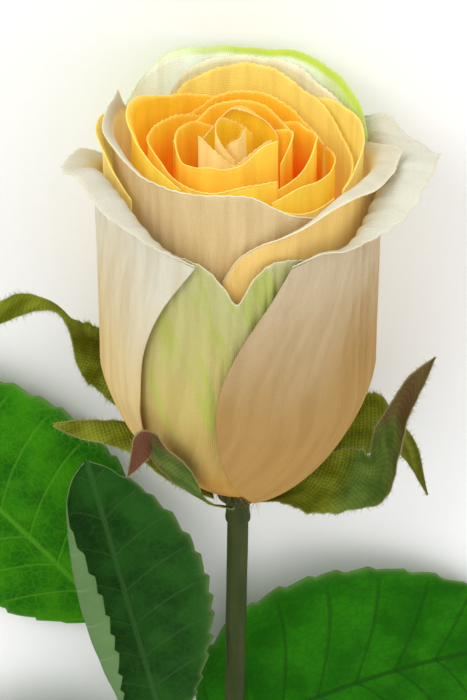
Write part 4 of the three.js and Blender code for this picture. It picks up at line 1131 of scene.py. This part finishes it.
def make_stem():
    """The plastic tube, slightly lumpy, with a mould seam along it."""
    top = STEM_TOP + SOCKET_DEPTH
    heights = np.linspace(top, -STEM_LENGTH, 420)
    angle = full_turn(STEM_SIDES)
    lumps = 0.05 * ripple(3, heights[:, None] / 9, np.cos(angle), np.sin(angle), octaves=3)
    seam = 0.07 * np.exp(-((np.sin(angle / 2 - 0.5) / 0.05) ** 2))
    ends = smooth((top - heights) / 0.4)[:, None] * 0.12 + 0.88
    radii = (STEM_RADIUS + lumps + seam) * ends
    round_piece("stem", stem_path(heights), radii, STEM_SIDES, STEM)


def profile_piece(name, rows, steps, material, wobble):
    """A lathed piece about the flower's axis from rows of [height, radius], joined by straight lines.

    Its radius is uneven by the wobble.
    """
    rows = np.array(rows, float)
    heights = np.linspace(rows[0, 0], rows[-1, 0], steps)
    heights = np.sort(np.concatenate([heights, rows[:, 0]]))[::-1]
    radii = np.interp(heights, rows[:, 0], rows[:, 1])[:, None]
    angle = full_turn(LATHE_SIDES)
    radii = radii + wobble * ripple(8, heights[:, None] / 2, np.cos(angle) * 2, np.sin(angle) * 2)
    path = lay(np.stack([0 * heights, 0 * heights, heights], -1))
    apart = np.arange(len(path))[:, None] * -1e-4 * AXIS
    round_piece(name, path + apart, radii, LATHE_SIDES, material)


def make_wire():
    """The wire in the stem, standing a little proud of its cut end."""
    heights = np.linspace(-STEM_LENGTH + 3, -STEM_LENGTH - WIRE_PROUD, 30)
    radii = np.full((30, 1), WIRE_RADIUS)
    radii[-3:, 0] = WIRE_RADIUS * np.array([0.96, 0.85, 0.6])
    round_piece("stem_wire", stem_path(heights), radii, 20, WIRE)


def make_rachis(name, points):
    """The stalk of a spray of leaves, through points of the lying frame before its shift."""
    points = np.array(points, float)
    share = np.linspace(0, 1, len(points))
    centre = np.moveaxis(through(np.column_stack([share, points]))(np.linspace(0, 1, 120)), 0, -1)
    angle = full_turn(RACHIS_SIDES)
    joints = 0.1 * ripple(len(name), np.linspace(0, 12, 120)[:, None], np.cos(angle), np.sin(angle))
    round_piece(name, centre + SHIFT, RACHIS_RADIUS - 0.1 + joints, RACHIS_SIDES, STEM)


make_stem()
make_wire()
profile_piece("cup", [[-COLLAR_LENGTH, 2.3], [-9.4, 2.62], [-8.6, 2.66], [-7.6, 2.5], [-5.2, 2.5],
                      [-4.2, 2.9], [-3, 4.3], [-1.5, CUP_RADIUS], [0, CUP_RADIUS],
                      [HUB_TOP, HUB_TOP_RADIUS], [28, HUB_TOP_RADIUS]], 160, STEM, 0.03)
profile_piece("bud_core", [[28.4, 2.1], [29, CORE_RADIUS], [CORE_TOP - 1, CORE_RADIUS],
                           [CORE_TOP, 1.6]], 80, FOAM, 0.06)
make_rachis("rachis_left", [[-5.6, -104, 13.6], [-8, -94, 12.8], [-13, -78, 11], [-20, -62, 8],
                            [-27.2, -48.6, 5.2]])
make_rachis("rachis_right", [[1.8, -128, 8.9], [1.8, -116, 7.8], [-0.6, -100, 7.4], [-4.8, -82.4, 7.6]])


# ---- Floor, light and camera -----------------------------------------------------------------------
def floor():
    """A pale plain surface just below the rose."""
    mesh = bpy.data.meshes.new("floor")
    corners = [(x * FLOOR_HALF, y * FLOOR_HALF, 0) for x, y in ((-1, -1), (1, -1), (1, 1), (-1, 1))]
    mesh.from_pydata(corners, [], [(0, 1, 2, 3)])
    look = Look("floor", Roughness=0.75, Specular_IOR_Level=0.2)
    x, y, _ = look.place()
    tooth = look.noise(look.vector(x * 900, y * 900), detail=3)
    colour = look.blend(tooth, (0.93, 0.93, 0.925), (0.96, 0.96, 0.955))
    mesh.materials.append(look.finish(Base_Color=colour))
    plane = new_object("floor", mesh)
    plane.location.z = CAD_BOX[0][2] - FLOOR_DROP


def area_light(name, place, aim, size, power):
    light = bpy.data.lights.new(name, "AREA")
    light.shape = "DISK"
    light.size = size
    light.energy = power
    lamp = new_object(name, light)
    lamp.location = place
    lamp.rotation_euler = (Vector(aim) - Vector(place)).to_track_quat("-Z", "Y").to_euler()


def camera():
    """A long lens that looks down on the lying flower from its front, with the head at the top."""
    tilt = math.radians(VIEW_TILT)
    out = math.cos(tilt) * FRONT + math.sin(tilt) * AXIS
    up = math.cos(tilt) * AXIS - math.sin(tilt) * FRONT
    aim = lay(VIEW_AIM)
    data = bpy.data.cameras.new("camera")
    data.lens = VIEW_LENS
    data.sensor_width = 36
    data.clip_start = 0.02
    view = new_object("camera", data)
    place = (aim + out * VIEW_DISTANCE) * MM
    view.matrix_world = Matrix([[SIDE[i], up[i], out[i], place[i]] for i in range(3)] + [[0, 0, 0, 1]])
    bpy.context.scene.camera = view


def studio():
    """Even white light from all round, with two soft lamps above the head."""
    world = bpy.data.worlds.new("studio")
    world.use_nodes = True
    background = world.node_tree.nodes["Background"]
    background.inputs["Color"].default_value = (1, 1, 1, 1)
    background.inputs["Strength"].default_value = 0.95
    bpy.context.scene.world = world
    head = lay([0, 0, 60]) * MM
    area_light("key", (-0.5, 0.75, 0.7), head, 0.5, 3)
    area_light("fill", (0.7, -0.1, 0.6), head, 0.6, 1.2)
    bpy.context.scene.view_settings.view_transform = "Standard"


floor()
camera()
studio()
